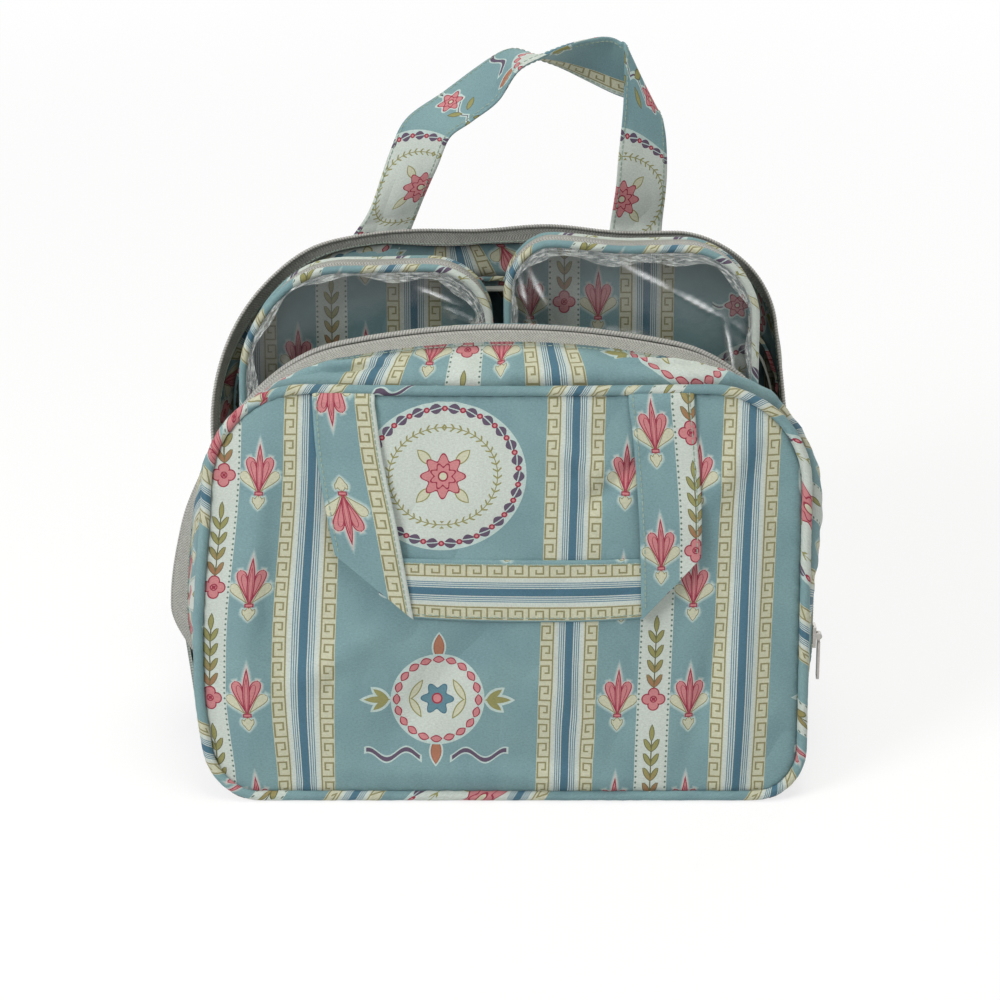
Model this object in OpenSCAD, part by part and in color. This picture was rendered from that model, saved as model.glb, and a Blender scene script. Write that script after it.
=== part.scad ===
// Soft toiletry bag with a zipped front compartment and an open main compartment.
// Two clear-fronted zip pouches stand in the main compartment.
// X runs across the bag, the front faces -Y and Z is up.
// The origin lies on the base, half way across and just in front of the divider.

/* [Bag] */
// Width of the front panel over its piping
bag_w = 300; // [280:1:320]
// Height of the front panel along its slope
front_h = 207; // [195:1:220]
// Depth of the front compartment at the base, from panel to zip
front_depth = 52; // [46:1:58]
// Depth of the main compartment at the base, from divider to back panel
main_depth = 70; // [64:1:76]
// Rise of the opened back edge above the back seam
open_rise = 26; // [23:0.2:32]
// Lean of the front panel, in degrees
front_lean = 16; // [12:1:18]
// Lean of the divider and of the front zip, in degrees
zip_lean = 10; // [8:1:12]
// Lean of the back panel, in degrees
back_lean = 14; // [12:1:16]

/* [Cloth and piping] */
// Thickness of the quilted panels
panel_t = 2; // [1.6:0.1:2.6]
// Thickness of the gusset strips
gusset_t = 1.6; // [1.2:0.1:2]
// Diameter of the corded piping
piping_d = 5.2; // [4.4:0.1:5.6]
// How far the front panel swells out in the middle
front_bulge = 7; // [4:0.5:9]
// How far the back panel swells out in the middle
back_bulge = 3; // [1:0.5:5]

/* [Zips] */
// Width of each zip tape beside its teeth
tape_w = 8.5; // [7.5:0.1:9.5]
// Thickness of the zip tape
tape_t = 1; // [0.8:0.1:1.2]
// Width of one row of teeth
tooth_w = 2.4; // [2.2:0.1:2.6]
// Height of the teeth through the tape
tooth_h = 2.2; // [2:0.1:2.4]
// Gap between the two rows of teeth
row_gap = 1; // [0.9:0.05:1.2]
// Height on the sides where the zips end
zip_end_h = 50; // [44:1:56]

/* [Sliders and pulls] */
// Length of a slider along the zip
slider_l = 11; // [10:0.5:13]
// Thickness of a slider's plates
plate_t = 1.2; // [1:0.1:1.5]
// Diameter of the hinge pin
pin_d = 1.4; // [1.2:0.1:1.6]
// Length of a pull tab from its pin
pull_l = 24; // [20:1:28]
// Width of a pull tab
pull_w = 6; // [5:0.5:7]

/* [Handles] */
// Width of the straps
strap_w = 33; // [30:1:36]
// Thickness of the straps
strap_t = 2.2; // [1.8:0.1:2.6]
// Rise of the back handle above the back seam
handle_rise = 126; // [118:1:140]

/* [Pouches] */
// Height of the inner pouches
pouch_h = 230; // [220:1:236]
// Depth of the inner pouches, front piping to back piping
pouch_d = 28; // [26:1:30]
// Diameter of the pouches' piping
pouch_piping_d = 3.2; // [2.8:0.1:3.6]
// Thickness of the clear window
window_t = 0.8; // [0.6:0.1:1.2]
// How far the clear window swells out
window_bulge = 4; // [1:0.5:6]

/* [Hidden] */

// Room left between neighbouring sewn pieces
seam_gap = 0.3;
// Room round the teeth inside a slider
slide_gap = 0.35;
// Extra room under the tape inside a slider
under_gap = 0.8;
// Room round a hinge pin
pin_gap = 0.05;

piping_r = piping_d / 2;
pouch_piping_r = pouch_piping_d / 2;
// Centre of a row of teeth from the middle of its zip
row_off = (row_gap + tooth_w) / 2;
// Side of a row that its tape is sewn to
row_side = row_gap / 2 + tooth_w;
// From the middle of a zip to the far edge of its tape
tape_end = row_side + seam_gap / 2 + tape_w;

// How far the outer edges of the front zip's tapes drop below its teeth, near and far
zip_slope = 1.8;
far_slope = 4.6;

// Corner radii; the opened edge and the pouches slump, so their left and right top corners differ
front_top_r = 50;
corner_r = 24;
zip_top_r = 72;
open_left_r = 108;
open_right_r = 46;
back_top_r = 62;
left_pouch_outer_r = 58;
left_pouch_inner_r = 30;
right_pouch_outer_r = 36;
right_pouch_inner_r = 23;
pouch_corner_r = 16;

// How far the top edges arch up between the corners
front_arch = -2;
zip_arch = 30;
open_arch = 2;
back_arch = 6;
pouch_arch = 1;

// How far the opened edge has swayed at its top, to the left below zero
open_sway = -16;

// Half widths of the seams, each told by its step from a neighbour
zip_out = 8;
divider_in = 4;
open_in = 1;
back_in = 2;
front_a = bag_w / 2 - piping_r;
zip_a = front_a + zip_out;
divider_a = zip_a - divider_in;
open_a = divider_a - open_in;
back_a = front_a - back_in;

// Heights of the seams along their own slopes, told the same way
zip_down = 16;
divider_down = 8;
fold_down = 9;
back_down = 4;
zip_h = front_h - zip_down;
divider_h = zip_h - divider_down;
fold_h = divider_h - fold_down;
back_h = front_h - back_down;

// Feet of the seams on the ground, counted from the foot of the front panel
divider_off = tape_end + seam_gap + piping_r;
divider_y = front_depth + divider_off / cos(zip_lean);
fold_off = divider_off + piping_r + seam_gap + tape_w + row_off;
fold_y = front_depth + fold_off / cos(zip_lean);
back_y = divider_y + main_depth;
// The origin lies on the base strip, just in front of the divider
base_mid = divider_y - piping_d - tape_t;

// Opened back edge: it starts beside the divider's teeth and leans back over the back seam
fork_room_share = 0.2;
open_start_y = fold_y + zip_end_h * tan(zip_lean) + 2 * row_off + row_gap * fork_room_share;
back_top_s = back_h + back_arch;
back_top_y = back_y + back_top_s * sin(back_lean);
back_top_z = piping_r + back_top_s * cos(back_lean);
open_h = back_top_z + open_rise;
open_lean = atan2(back_top_y + piping_r - open_start_y, open_h - zip_end_h);
open_y = open_start_y - zip_end_h * tan(open_lean);
open_len = open_h / cos(open_lean) - open_arch;

// Pouches stand on the base strip and lean beside the back panel
pouch_clear = 16;
pouch_lean = atan2(back_top_y - back_y, open_h);
pouch_back_y = back_y - pouch_clear;
pouch_front_y = pouch_back_y - pouch_d / cos(pouch_lean);
pouch_z = gusset_t + seam_gap + pouch_piping_r + (pouch_d + pouch_piping_r) * sin(pouch_lean);
pouch_between = 6;
pouch_side_room = 12.2;
pouch_w = back_a - pouch_side_room - pouch_between / 2;
pouch_a = pouch_w / 2 - pouch_piping_r;
pouch_x = pouch_between / 2 + pouch_w / 2;
pouch_zip_end = 34;
// The pouches have slid to one side; the left one has sunk and the right one stands up
pouch_slide = -4.2;
pouch_sag = 5;

// Seams: half width, height, top radius, bottom radius, arch, centre x, foot y, foot z, lean;
// a slumped seam also has a top radius of its own on the left and a sway
front_seam = [front_a, front_h, front_top_r, corner_r, front_arch, 0, 0, piping_r, front_lean];
zip_seam = [zip_a, zip_h, zip_top_r, corner_r, zip_arch, 0, front_depth, 0, zip_lean];
divider_seam = [divider_a, divider_h, zip_top_r, corner_r, zip_arch, 0, divider_y, piping_r, zip_lean];
fold_seam = [open_a, fold_h, zip_top_r, corner_r, zip_arch, 0, fold_y, 0, zip_lean];
open_seam = [open_a, open_len, open_right_r, corner_r, open_arch, 0, open_y, 0, open_lean,
    open_left_r, open_sway];
back_seam = [back_a, back_h, back_top_r, corner_r, back_arch, 0, back_y, piping_r, back_lean];
function pouch_seam(side) = [pouch_a, pouch_h + side * pouch_sag,
    side > 0 ? right_pouch_outer_r : left_pouch_inner_r, pouch_corner_r, pouch_arch,
    side * pouch_x + pouch_slide, pouch_front_y, pouch_z, pouch_lean,
    side > 0 ? right_pouch_inner_r : left_pouch_outer_r, 0];

// Number of steps along each stretch of a seam
bottom_n = 2;
corner_n = 4;
side_n = 3;
top_n = 7;
over_n = 3;
half_n = bottom_n + corner_n + 1 + side_n + top_n + over_n;
seam_n = 2 * half_n;
end_i = bottom_n + corner_n + 1;
over_ids = [for (i = [end_i : seam_n - end_i]) i];
under_ids = [for (i = [seam_n - end_i : seam_n + end_i]) i % seam_n];
ring_ids = [for (i = [0 : seam_n - 1]) i];

// Right half of a seam in its own plane, from the middle of the bottom to the middle of the top
function half_seam(a, h, rt, rb, e) = concat(
    [for (i = [0 : bottom_n - 1]) [(a - rb) * i / bottom_n, 0]],
    [for (i = [0 : corner_n]) let (q = 90 * i / corner_n) [a - rb + rb * sin(q), rb - rb * cos(q)]],
    [for (i = [0 : side_n - 1]) [a, e + (h - rt - e) * i / side_n]],
    [for (i = [0 : top_n]) let (q = 90 * i / top_n) [a - rt + rt * cos(q), h - rt + rt * sin(q)]],
    [for (i = [1 : over_n]) [(a - rt) * (1 - i / over_n), h]]);

// Whole seam, closed, with its arch added above the shoulders
function flat_seam(a, h, rt, rl, rb, e, arch) =
    let (r = half_seam(a, h, rt, rb, e),
         q = half_seam(a, h, rl, rb, e),
         l = [for (i = [half_n - 1 : -1 : 1]) [-q[i].x, q[i].y]])
    [for (p = concat(r, l))
        [p.x, p.y + (p.y >= h - (p.x < 0 ? rl : rt) ? arch * (1 - pow(p.x / a, 2)) : 0)]];

// Where a seam's zip ends, along its slope
function end_s(m) = (zip_end_h - m[7]) / cos(m[8]);

// Left top radius and sway of a seam; the sway grows with the square of the height above the zip's end
function left_r(m) = len(m) > 9 ? m[9] : m[2];
function sway(m, s) = len(m) > 9 ? m[10] * pow(max(0, s - end_s(m)) / (m[1] - end_s(m)), 2) : 0;

// Point of a leaning plane: x, height along the slope and offset behind the plane
function on_plane(m, x, s, back) = [m[5] + x + sway(m, s), m[6] - base_mid + s * sin(m[8]) + back * cos(m[8]),
    m[7] + s * cos(m[8]) - back * sin(m[8])];

// Seam drawn inwards by a margin, still in its own plane
function inner_seam(m, inward, e) =
    flat_seam(m[0] - inward, m[1] - 2 * inward, m[2] - inward, left_r(m) - inward, m[3] - inward,
        e - inward, m[4]);

// The same seam in space, set back behind its plane
function loop(m, inward, back, e) =
    [for (p = inner_seam(m, inward, e)) on_plane(m, p.x, p.y + inward, back)];

// Height of a seam's top edge at a distance from the middle
function top_s(m, x) = m[1] + m[4] * (1 - pow(x / m[0], 2));

// A seam moved back, square to its plane
function set_back(m, d) =
    [m[0], m[1], m[2], m[3], m[4], m[5], m[6] + d * cos(m[8]), m[7] - d * sin(m[8]), m[8], left_r(m), 0];

// Loop whose straight bottom is pulled down to the ground
function grounded(pts) = [for (i = ring_ids)
    let (p = pts[i], flat = i <= bottom_n || i >= seam_n - bottom_n)
    [p.x, p.y, flat ? 0 : max(p.z, 0)]];

function unit(v) = v / norm(v);
function step_along(p, i) = p[(i + 1) % len(p)] - p[(i + len(p) - 1) % len(p)];

// Triangles of a tube whose rings have m points
function tube_faces(n, m, closed) = concat(
    [for (i = [0 : (closed ? n - 1 : n - 2)], k = [0 : m - 1])
        let (a = i * m, b = (i + 1) % n * m, q = (k + 1) % m)
        each [[a + k, b + k, b + q], [a + k, b + q, a + q]]],
    closed ? [] : [for (k = [1 : m - 2]) [0, k, k + 1]],
    closed ? [] : [for (k = [1 : m - 2]) let (o = (n - 1) * m) [o, o + k + 1, o + k]]);

// Strip of cloth between two seams, thickened towards the inside of the bag
module band(front, rear, t, ids) {
    closed = len(ids) == len(front);
    pts = [for (i = ids)
        let (n = unit(cross(step_along(front, i), rear[i] - front[i])))
        each [front[i], rear[i], rear[i] + n * t, front[i] + n * t]];
    polyhedron(points = pts, faces = tube_faces(len(ids), 4, closed), convexity = 6);
}

// Round cord along a closed seam
cord_sides = 8;
module cord(m, r, sides) {
    path = loop(m, 0, 0, end_s(m));
    v = [0, cos(m[8]), -sin(m[8])];
    pts = [for (i = ring_ids)
        let (u = unit(cross(v, step_along(path, i))))
        each [for (k = [0 : sides - 1])
            let (q = 360 * k / sides)
            path[i] + r * (cos(q) * u + sin(q) * v)]];
    polyhedron(points = pts, faces = tube_faces(seam_n, sides, true), convexity = 6);
}

// How far a panel swells out at one of its points
function swell(m, x, s, bulge) =
    bulge * max(0, 1 - pow(x / m[0], 2)) * max(0, 1 - pow(2 * s / m[1] - 1, 2));

// Sheet inside a seam: rings that shrink towards its middle and swell out, or one ring if it is flat
ring_shares = [1, 0.88, 0.66, 0.36];
module sheet(m, inward, t, bulge) {
    flat = inner_seam(m, inward, end_s(m));
    mid = m[1] / 2;
    shares = bulge == 0 ? [1] : ring_shares;
    rings = len(shares);
    far = rings * seam_n;
    function at(p, f, side) = let (x = p.x * f, s = mid + (p.y + inward - mid) * f)
        on_plane(m, x, s, side * t / 2 + swell(m, x, s, bulge));
    function quads(o, flip) = [for (r = [0 : 1 : rings - 2], i = ring_ids)
        let (a = o + r * seam_n + i, b = o + r * seam_n + (i + 1) % seam_n, c = b + seam_n, d = a + seam_n)
        each flip ? [[a, c, b], [a, d, c]] : [[a, b, c], [a, c, d]]];
    function fan(o, tip, flip) = [for (i = ring_ids)
        let (last = o + far - seam_n, a = last + i, b = last + (i + 1) % seam_n)
        flip ? [a, tip, b] : [a, b, tip]];
    rim = [for (i = ring_ids) let (j = (i + 1) % seam_n) each [[i, j, far + j], [i, far + j, far + i]]];
    pts = concat(
        [for (f = shares, p = flat) at(p, f, -1)],
        [for (f = shares, p = flat) at(p, f, 1)],
        [for (side = [-1, 1]) on_plane(m, 0, mid, bulge + side * t / 2)]);
    near_faces = concat(quads(0, true), fan(0, 2 * far, true));
    far_faces = concat(quads(far, false), fan(far, 2 * far + 1, false));
    polyhedron(points = pts, faces = concat(near_faces, far_faces, rim), convexity = 6);
}

// Smooth in-between points of a hand-set path
fine_n = 2;
function blend(a, b, c, d, t) = (2 * b + (c - a) * t + (2 * a - 5 * b + 4 * c - d) * pow(t, 2)
    + (3 * b - a - 3 * c + d) * pow(t, 3)) / 2;
function smooth_path(p) = let (n = len(p)) concat(
    [for (i = [0 : n - 2], k = [0 : fine_n - 1])
        blend(p[max(i - 1, 0)], p[i], p[i + 1], p[min(i + 2, n - 1)], k / fine_n)], [p[n - 1]]);

// Flat webbing between two edge paths
module ribbon(left, right, t) {
    n = len(left);
    mid = (left + right) / 2;
    pts = [for (i = [0 : n - 1])
        let (d = mid[min(i + 1, n - 1)] - mid[max(i - 1, 0)],
             u = unit(cross(d, right[i] - left[i])) * t / 2)
        each [left[i] - u, right[i] - u, right[i] + u, left[i] + u]];
    polyhedron(points = pts, faces = tube_faces(n, 4, false), convexity = 8);
}

// Colours
cloth = [0.56, 0.67, 0.66];
cloth_dark = [0.47, 0.58, 0.57];
grey = [0.68, 0.68, 0.65];
teeth_grey = [0.55, 0.55, 0.53];
metal = [0.72, 0.70, 0.66];
clear = [0.85, 0.9, 0.9, 0.45];

// Front compartment
module front_panel() {
    color(cloth) sheet(front_seam, piping_r + seam_gap, panel_t, -front_bulge);
}

module front_piping() {
    color(cloth_dark) cord(front_seam, piping_r, cord_sides);
}

module front_gusset() {
    color(cloth) band(loop(front_seam, -piping_r / 2, piping_r + seam_gap, end_s(front_seam)),
        loop(zip_seam, zip_slope, -tape_end - seam_gap, end_s(zip_seam)), gusset_t, over_ids);
}

module front_base() {
    color(cloth_dark) band(
        grounded(loop(front_seam, -piping_r, piping_r + seam_gap, end_s(front_seam) - seam_gap)),
        grounded(loop(divider_seam, -piping_r, -piping_r - seam_gap, end_s(divider_seam) - seam_gap)),
        gusset_t, under_ids);
}

module zip_tape(m, near_in, near_off, far_in, far_off, lift) {
    e = end_s(m) + lift;
    band(loop(m, near_in - tape_t / 2, near_off, e), loop(m, far_in - tape_t / 2, far_off, e), tape_t, over_ids);
}

module zip_row(m, off, e) {
    band(loop(m, -tooth_h / 2, off - tooth_w / 2, e), loop(m, -tooth_h / 2, off + tooth_w / 2, e),
        tooth_h, over_ids);
}

module front_zip_near_tape() {
    color(grey) zip_tape(zip_seam, zip_slope, -tape_end, 0, -row_side - seam_gap, 0);
}

module front_zip_far_tape() {
    color(grey) zip_tape(zip_seam, 0, row_side + seam_gap + tape_t / 2, far_slope, tape_end,
        tape_end * tan(zip_lean) + seam_gap);
}

module front_zip_near_teeth() {
    color(teeth_grey) zip_row(zip_seam, -row_off, end_s(zip_seam));
}

module front_zip_far_teeth() {
    color(teeth_grey) zip_row(zip_seam, row_off, end_s(zip_seam));
}

module divider_panel() {
    color(cloth_dark) sheet(divider_seam, piping_r + seam_gap, panel_t, 0);
}

module divider_piping() {
    color(cloth) cord(divider_seam, piping_r, cord_sides);
}

// Main compartment
module main_zip_front_tape() {
    color(grey) band(
        loop(divider_seam, divider_a - open_a - tape_t / 2, piping_r + seam_gap, end_s(divider_seam)),
        loop(fold_seam, -tape_t / 2, -tooth_w / 2 - seam_gap / 2, end_s(fold_seam)), tape_t, over_ids);
}

module main_zip_front_teeth() {
    color(teeth_grey) zip_row(fold_seam, 0, end_s(fold_seam));
}

module main_zip_back_teeth() {
    color(teeth_grey) zip_row(open_seam, 0, end_s(open_seam));
}

// Edge of the opened zip's tape, drawn from its teeth towards the back seam
function towards(from, to, d) = [for (i = ring_ids) from[i] + unit(to[i] - from[i]) * d];
open_edge = loop(open_seam, -tape_t / 2, tooth_w / 2 + tape_t + seam_gap / 2, end_s(open_seam));
back_edge = loop(back_seam, -piping_r / 2, -piping_r - seam_gap, end_s(back_seam));

module main_zip_back_tape() {
    color(grey) band(open_edge, towards(open_edge, back_edge, tape_w), tape_t, over_ids);
}

module back_gusset() {
    color(cloth) band(towards(open_edge, back_edge, tape_w + seam_gap), back_edge, gusset_t, over_ids);
}

module back_base() {
    color(cloth_dark) band(
        grounded(loop(divider_seam, -piping_r, piping_r + seam_gap, end_s(divider_seam) - seam_gap)),
        grounded(loop(back_seam, -piping_r, -piping_r - seam_gap, end_s(back_seam) - seam_gap)),
        gusset_t, under_ids);
}

module back_piping() {
    color(cloth_dark) cord(back_seam, piping_r, cord_sides);
}

module back_panel() {
    color(cloth) sheet(back_seam, piping_r + seam_gap, panel_t, back_bulge);
}

// Tape bound over the seam inside the back compartment
binding_w = 11;
binding_t = 1;
module back_seam_binding() {
    drop = piping_r + gusset_t + seam_gap;
    color(grey) band(loop(back_seam, drop, -panel_t / 2 - seam_gap - binding_w, end_s(back_seam)),
        loop(back_seam, drop, -panel_t / 2 - seam_gap, end_s(back_seam)), binding_t, over_ids);
}

// Handles
// Front strap, folded down: left edge x, left height, right edge x, right height
front_strap_shares = [
    [-0.315, 0.94, -0.213, 0.94], [-0.31, 0.83, -0.202, 0.83], [-0.291, 0.68, -0.181, 0.68],
    [-0.28, 0.615, -0.171, 0.612], [-0.217, 0.53, -0.167, 0.594], [-0.153, 0.453, -0.156, 0.592],
    [0.03, 0.44, 0.03, 0.59], [0.22, 0.448, 0.21, 0.592], [0.271, 0.518, 0.218, 0.596],
    [0.317, 0.598, 0.22, 0.614], [0.317, 0.73, 0.217, 0.73], [0.31, 0.876, 0.205, 0.876],
    [0.305, 0.94, 0.199, 0.94]];
// Ends of the front strap over the piping: height above the seam and offset behind it
over_r = piping_r + strap_t / 2 + 2 * seam_gap;
over_ends = concat([[over_r + seam_gap, over_r]], [for (q = [90 : -45 : 0]) [over_r * sin(q), -over_r * cos(q)]]);
function strap_point(x, s) = on_plane(front_seam, x, s,
    -panel_t / 2 - seam_gap - strap_t / 2 - swell(front_seam, x, s, front_bulge));
function strap_end(x) = [for (e = over_ends) on_plane(front_seam, x, top_s(front_seam, x) + e.x, e.y)];
function reverse(p) = [for (i = [len(p) - 1 : -1 : 0]) p[i]];
function strap_side(k) = concat(
    strap_end(front_strap_shares[0][k] * bag_w),
    [for (r = front_strap_shares) strap_point(r[k] * bag_w, r[k + 1] * front_h)],
    reverse(strap_end(front_strap_shares[len(front_strap_shares) - 1][k] * bag_w)));

module front_handle() {
    color(cloth) ribbon(strap_side(0), strap_side(2), strap_t);
}

// Back strap, standing: outer edge x and height, inner edge x and height, outer and inner depth
back_strap_shares = [
    [-0.31, 0, -0.2, 0, 0, 0], [-0.277, 0.13, -0.165, 0.19, -0.03, -0.03],
    [-0.239, 0.275, -0.144, 0.325, -0.04, 0.06], [-0.205, 0.49, -0.119, 0.49, -0.2, 0.3],
    [-0.173, 0.64, -0.097, 0.626, -0.3, 0.4], [-0.105, 0.76, -0.059, 0.69, -0.38, 0.44],
    [-0.046, 0.846, -0.015, 0.76, -0.42, 0.45], [0.005, 0.895, 0.019, 0.887, -0.48, 0.48],
    [0.047, 0.866, 0.064, 0.952, -0.5, 0.4], [0.092, 0.834, 0.11, 0.994, -0.45, 0.25],
    [0.141, 0.786, 0.154, 1, -0.36, 0.02], [0.188, 0.736, 0.178, 0.985, -0.28, -0.16],
    [0.234, 0.7, 0.193, 0.968, -0.22, -0.16], [0.262, 0.67, 0.2, 0.95, -0.06, -0.05],
    [0.273, 0.617, 0.2, 0.724, 0.05, 0.05], [0.278, 0.488, 0.193, 0.492, 0.05, 0.05],
    [0.278, 0.365, 0.19, 0.365, 0.02, 0.02], [0.273, 0.2, 0.183, 0.22, -0.03, -0.03],
    [0.268, 0, 0.172, 0, 0, 0]];
// The legs start against the gusset, just above the piping, and stand clear of the zip higher up
leg_x = bag_w / 4;
seat = on_plane(back_seam, leg_x, top_s(back_seam, leg_x) + piping_r / 2, -piping_r - seam_gap);
stand_share = 0.2;
stand_y = back_top_y + piping_d - base_mid + tape_t - gusset_t - seat.y;
function leg_y(q) = seat.y + gusset_t + seam_gap + strap_t / 2 + stand_y * min(1, q / stand_share);
function back_side(k) = [for (r = back_strap_shares)
    [r[2 * k] * bag_w, leg_y(r[2 * k + 1]) - r[4 + k] * strap_w,
        back_top_z + piping_r + handle_rise * r[2 * k + 1]]];

module back_handle() {
    color(cloth) ribbon(smooth_path(back_side(0)), smooth_path(back_side(1)), strap_t);
}

// Sliders and pulls, with x outwards, y across the zip and z along it
rivet_wall = 1;
lug_gap = 3.2;
lug_t = 1;
barrel_wall = 0.8;
barrel_r = pin_d / 2 + barrel_wall;
barrel_room = 0.25;
outer_face = tooth_h / 2 + slide_gap + plate_t;
pin_x = outer_face + barrel_r + barrel_room;
neck_t = row_gap / 2;
fuse = 0.2;
// Sides of the small round pieces
round_n = 32;

// Round piece along y
module barrel(r, h) {
    rotate([-90, 0, 0]) cylinder(r = r, h = h, $fn = round_n);
}

module slider_body(reach) {
    half_w = reach + slide_gap + rivet_wall;
    inner_face = -tooth_h / 2 - under_gap - plate_t;
    lip_x = tape_t / 2 + slide_gap;
    translate([outer_face - plate_t, -half_w, -slider_l / 2]) cube([plate_t, 2 * half_w, slider_l]);
    translate([inner_face, -half_w, -slider_l / 2]) cube([plate_t, 2 * half_w, slider_l]);
    for (side = [-1, 1])
        translate([lip_x, side * (half_w - rivet_wall / 2) - rivet_wall / 2, -slider_l / 2])
            cube([outer_face - lip_x - fuse, rivet_wall, slider_l]);
    translate([inner_face + fuse, -neck_t / 2, slider_l / 4])
        cube([outer_face - inner_face - 2 * fuse, neck_t, slider_l / 4]);
    for (side = [-1, 1])
        translate([outer_face - fuse, side * (lug_gap + lug_t) / 2 - lug_t / 2, 0]) {
            translate([0, 0, -barrel_r]) cube([pin_x - outer_face + fuse, lug_t, 2 * barrel_r]);
            translate([pin_x - outer_face + fuse, 0, 0]) barrel(barrel_r, lug_t);
        }
    translate([pin_x, -lug_gap / 2 - lug_t / 2, 0]) barrel(pin_d / 2, lug_gap + lug_t);
}

// Flat disc facing outwards
module disc(d, t) {
    translate([-t / 2, 0, 0]) rotate([0, 90, 0]) cylinder(d = d, h = t, $fn = round_n);
}

// Flat plate from one height to another
module plate(w, t, low, high) {
    translate([-t / 2, -w / 2, low]) cube([t, w, high - low]);
}

module pull_tab() {
    eye_w = lug_gap - seam_gap;
    tab_t = pin_d - fuse;
    neck_l = 2 * barrel_r;
    tip = pull_w / 2 - pull_l;
    translate([pin_x, 0, 0]) difference() {
        union() {
            translate([0, -eye_w / 2, 0]) barrel(barrel_r, eye_w);
            plate(eye_w, tab_t, -neck_l - fuse, 0);
            plate(pull_w, tab_t, tip, -neck_l);
            translate([0, 0, tip]) disc(pull_w, tab_t);
        }
        translate([0, -eye_w, 0]) barrel(pin_d / 2 + pin_gap, 2 * eye_w);
        translate([0, 0, tip]) disc(pull_w / 2, 2 * tab_t);
    }
}

// Puts a slider or a pull on the straight side of a zip
module on_side(m, s, off, lean, side) {
    p = on_plane(m, side * m[0], s, off);
    translate(p) rotate([-lean, 0, 0]) rotate([0, 0, side > 0 ? 0 : 180]) children();
}

park_room = 4;
front_park = end_s(zip_seam) + park_room + slider_l / 2;
module front_slider() {
    color(metal) on_side(zip_seam, front_park, 0, zip_lean, 1) slider_body(row_side);
}

module front_pull() {
    color(metal) on_side(zip_seam, front_park, 0, zip_lean, 1) pull_tab();
}

// The open zip's sliders stand in the fork at its lower ends
fork_lift = 3;
fork_lean = (zip_lean + open_lean) / 2;
fork_spread = tan((open_lean - zip_lean) / 2);
fork_reach = row_side + (slider_l + fork_lift) * fork_spread + row_gap / 2;
fork_s = end_s(fold_seam) + slider_l / 2 + fork_lift;
fork_off = row_off + (fork_s - end_s(fold_seam)) * fork_spread;
module on_fork(side) {
    on_side(fold_seam, fork_s, fork_off, fork_lean, side) children();
}

module main_slider_left() {
    color(metal) on_fork(-1) slider_body(fork_reach);
}

module main_pull_left() {
    color(metal) on_fork(-1) pull_tab();
}

module main_slider_right() {
    color(metal) on_fork(1) slider_body(fork_reach);
}

module main_pull_right() {
    color(metal) on_fork(1) pull_tab();
}

// Pouches
pouch_edge = pouch_piping_r + seam_gap;
pouch_mid = pouch_d / 2;

module pouch_window(side) {
    color(clear) sheet(pouch_seam(side), pouch_edge, window_t, -window_bulge);
}

module pouch_cord(side, back) {
    color(cloth_dark) cord(set_back(pouch_seam(side), back), pouch_piping_r, cord_sides - 2);
}

module pouch_strip(side, from, to, t, out, e, ids) {
    m = pouch_seam(side);
    band(loop(m, -out, from, e), loop(m, -out, to, e), t, ids);
}

module pouch_tape(side, from, to) {
    color(grey) pouch_strip(side, from, to, tape_t, tape_t / 2, pouch_zip_end, over_ids);
}

module pouch_front_tape(side) {
    pouch_tape(side, pouch_edge, pouch_mid - row_side - seam_gap / 2);
}

module pouch_back_tape(side) {
    pouch_tape(side, pouch_mid + row_side + seam_gap / 2, pouch_d - pouch_edge);
}

module pouch_teeth(side, row) {
    color(teeth_grey) pouch_strip(side, pouch_mid + row * row_off - tooth_w / 2,
        pouch_mid + row * row_off + tooth_w / 2, tooth_h, tooth_h / 2, pouch_zip_end, over_ids);
}

module pouch_base(side) {
    color(cloth) pouch_strip(side, pouch_edge, pouch_d - pouch_edge, gusset_t, gusset_t / 2,
        pouch_zip_end - seam_gap, under_ids);
}

module pouch_back_panel(side) {
    color(cloth) sheet(set_back(pouch_seam(side), pouch_d), pouch_edge, panel_t / 2, 0);
}

pouch_park = pouch_zip_end + park_room + slider_l / 2;
module on_pouch(side) {
    on_side(pouch_seam(side), pouch_park, pouch_mid, pouch_lean, side) children();
}

module pouch_slider(side) {
    color(metal) on_pouch(side) slider_body(row_side);
}

module pouch_pull(side) {
    color(metal) on_pouch(side) pull_tab();
}

front_panel();
front_piping();
front_gusset();
front_base();
front_handle();
front_zip_near_tape();
front_zip_near_teeth();
front_zip_far_teeth();
front_zip_far_tape();
front_slider();
front_pull();
divider_panel();
divider_piping();
main_zip_front_tape();
main_zip_front_teeth();
main_zip_back_teeth();
main_zip_back_tape();
main_slider_left();
main_pull_left();
main_slider_right();
main_pull_right();
back_gusset();
back_base();
back_piping();
back_panel();
back_seam_binding();
back_handle();
pouch_window(-1);  // left_pouch_window
pouch_cord(-1, 0);  // left_pouch_front_piping
pouch_front_tape(-1);  // left_pouch_front_tape
pouch_teeth(-1, -1);  // left_pouch_front_teeth
pouch_teeth(-1, 1);  // left_pouch_back_teeth
pouch_back_tape(-1);  // left_pouch_back_tape
pouch_base(-1);  // left_pouch_base
pouch_cord(-1, pouch_d);  // left_pouch_back_piping
pouch_back_panel(-1);  // left_pouch_back_panel
pouch_slider(-1);  // left_pouch_slider
pouch_pull(-1);  // left_pouch_pull
pouch_window(1);  // right_pouch_window
pouch_cord(1, 0);  // right_pouch_front_piping
pouch_front_tape(1);  // right_pouch_front_tape
pouch_teeth(1, -1);  // right_pouch_front_teeth
pouch_teeth(1, 1);  // right_pouch_back_teeth
pouch_back_tape(1);  // right_pouch_back_tape
pouch_base(1);  // right_pouch_base
pouch_cord(1, pouch_d);  // right_pouch_back_piping
pouch_back_panel(1);  // right_pouch_back_panel
pouch_slider(1);  // right_pouch_slider
pouch_pull(1);  // right_pouch_pull
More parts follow.
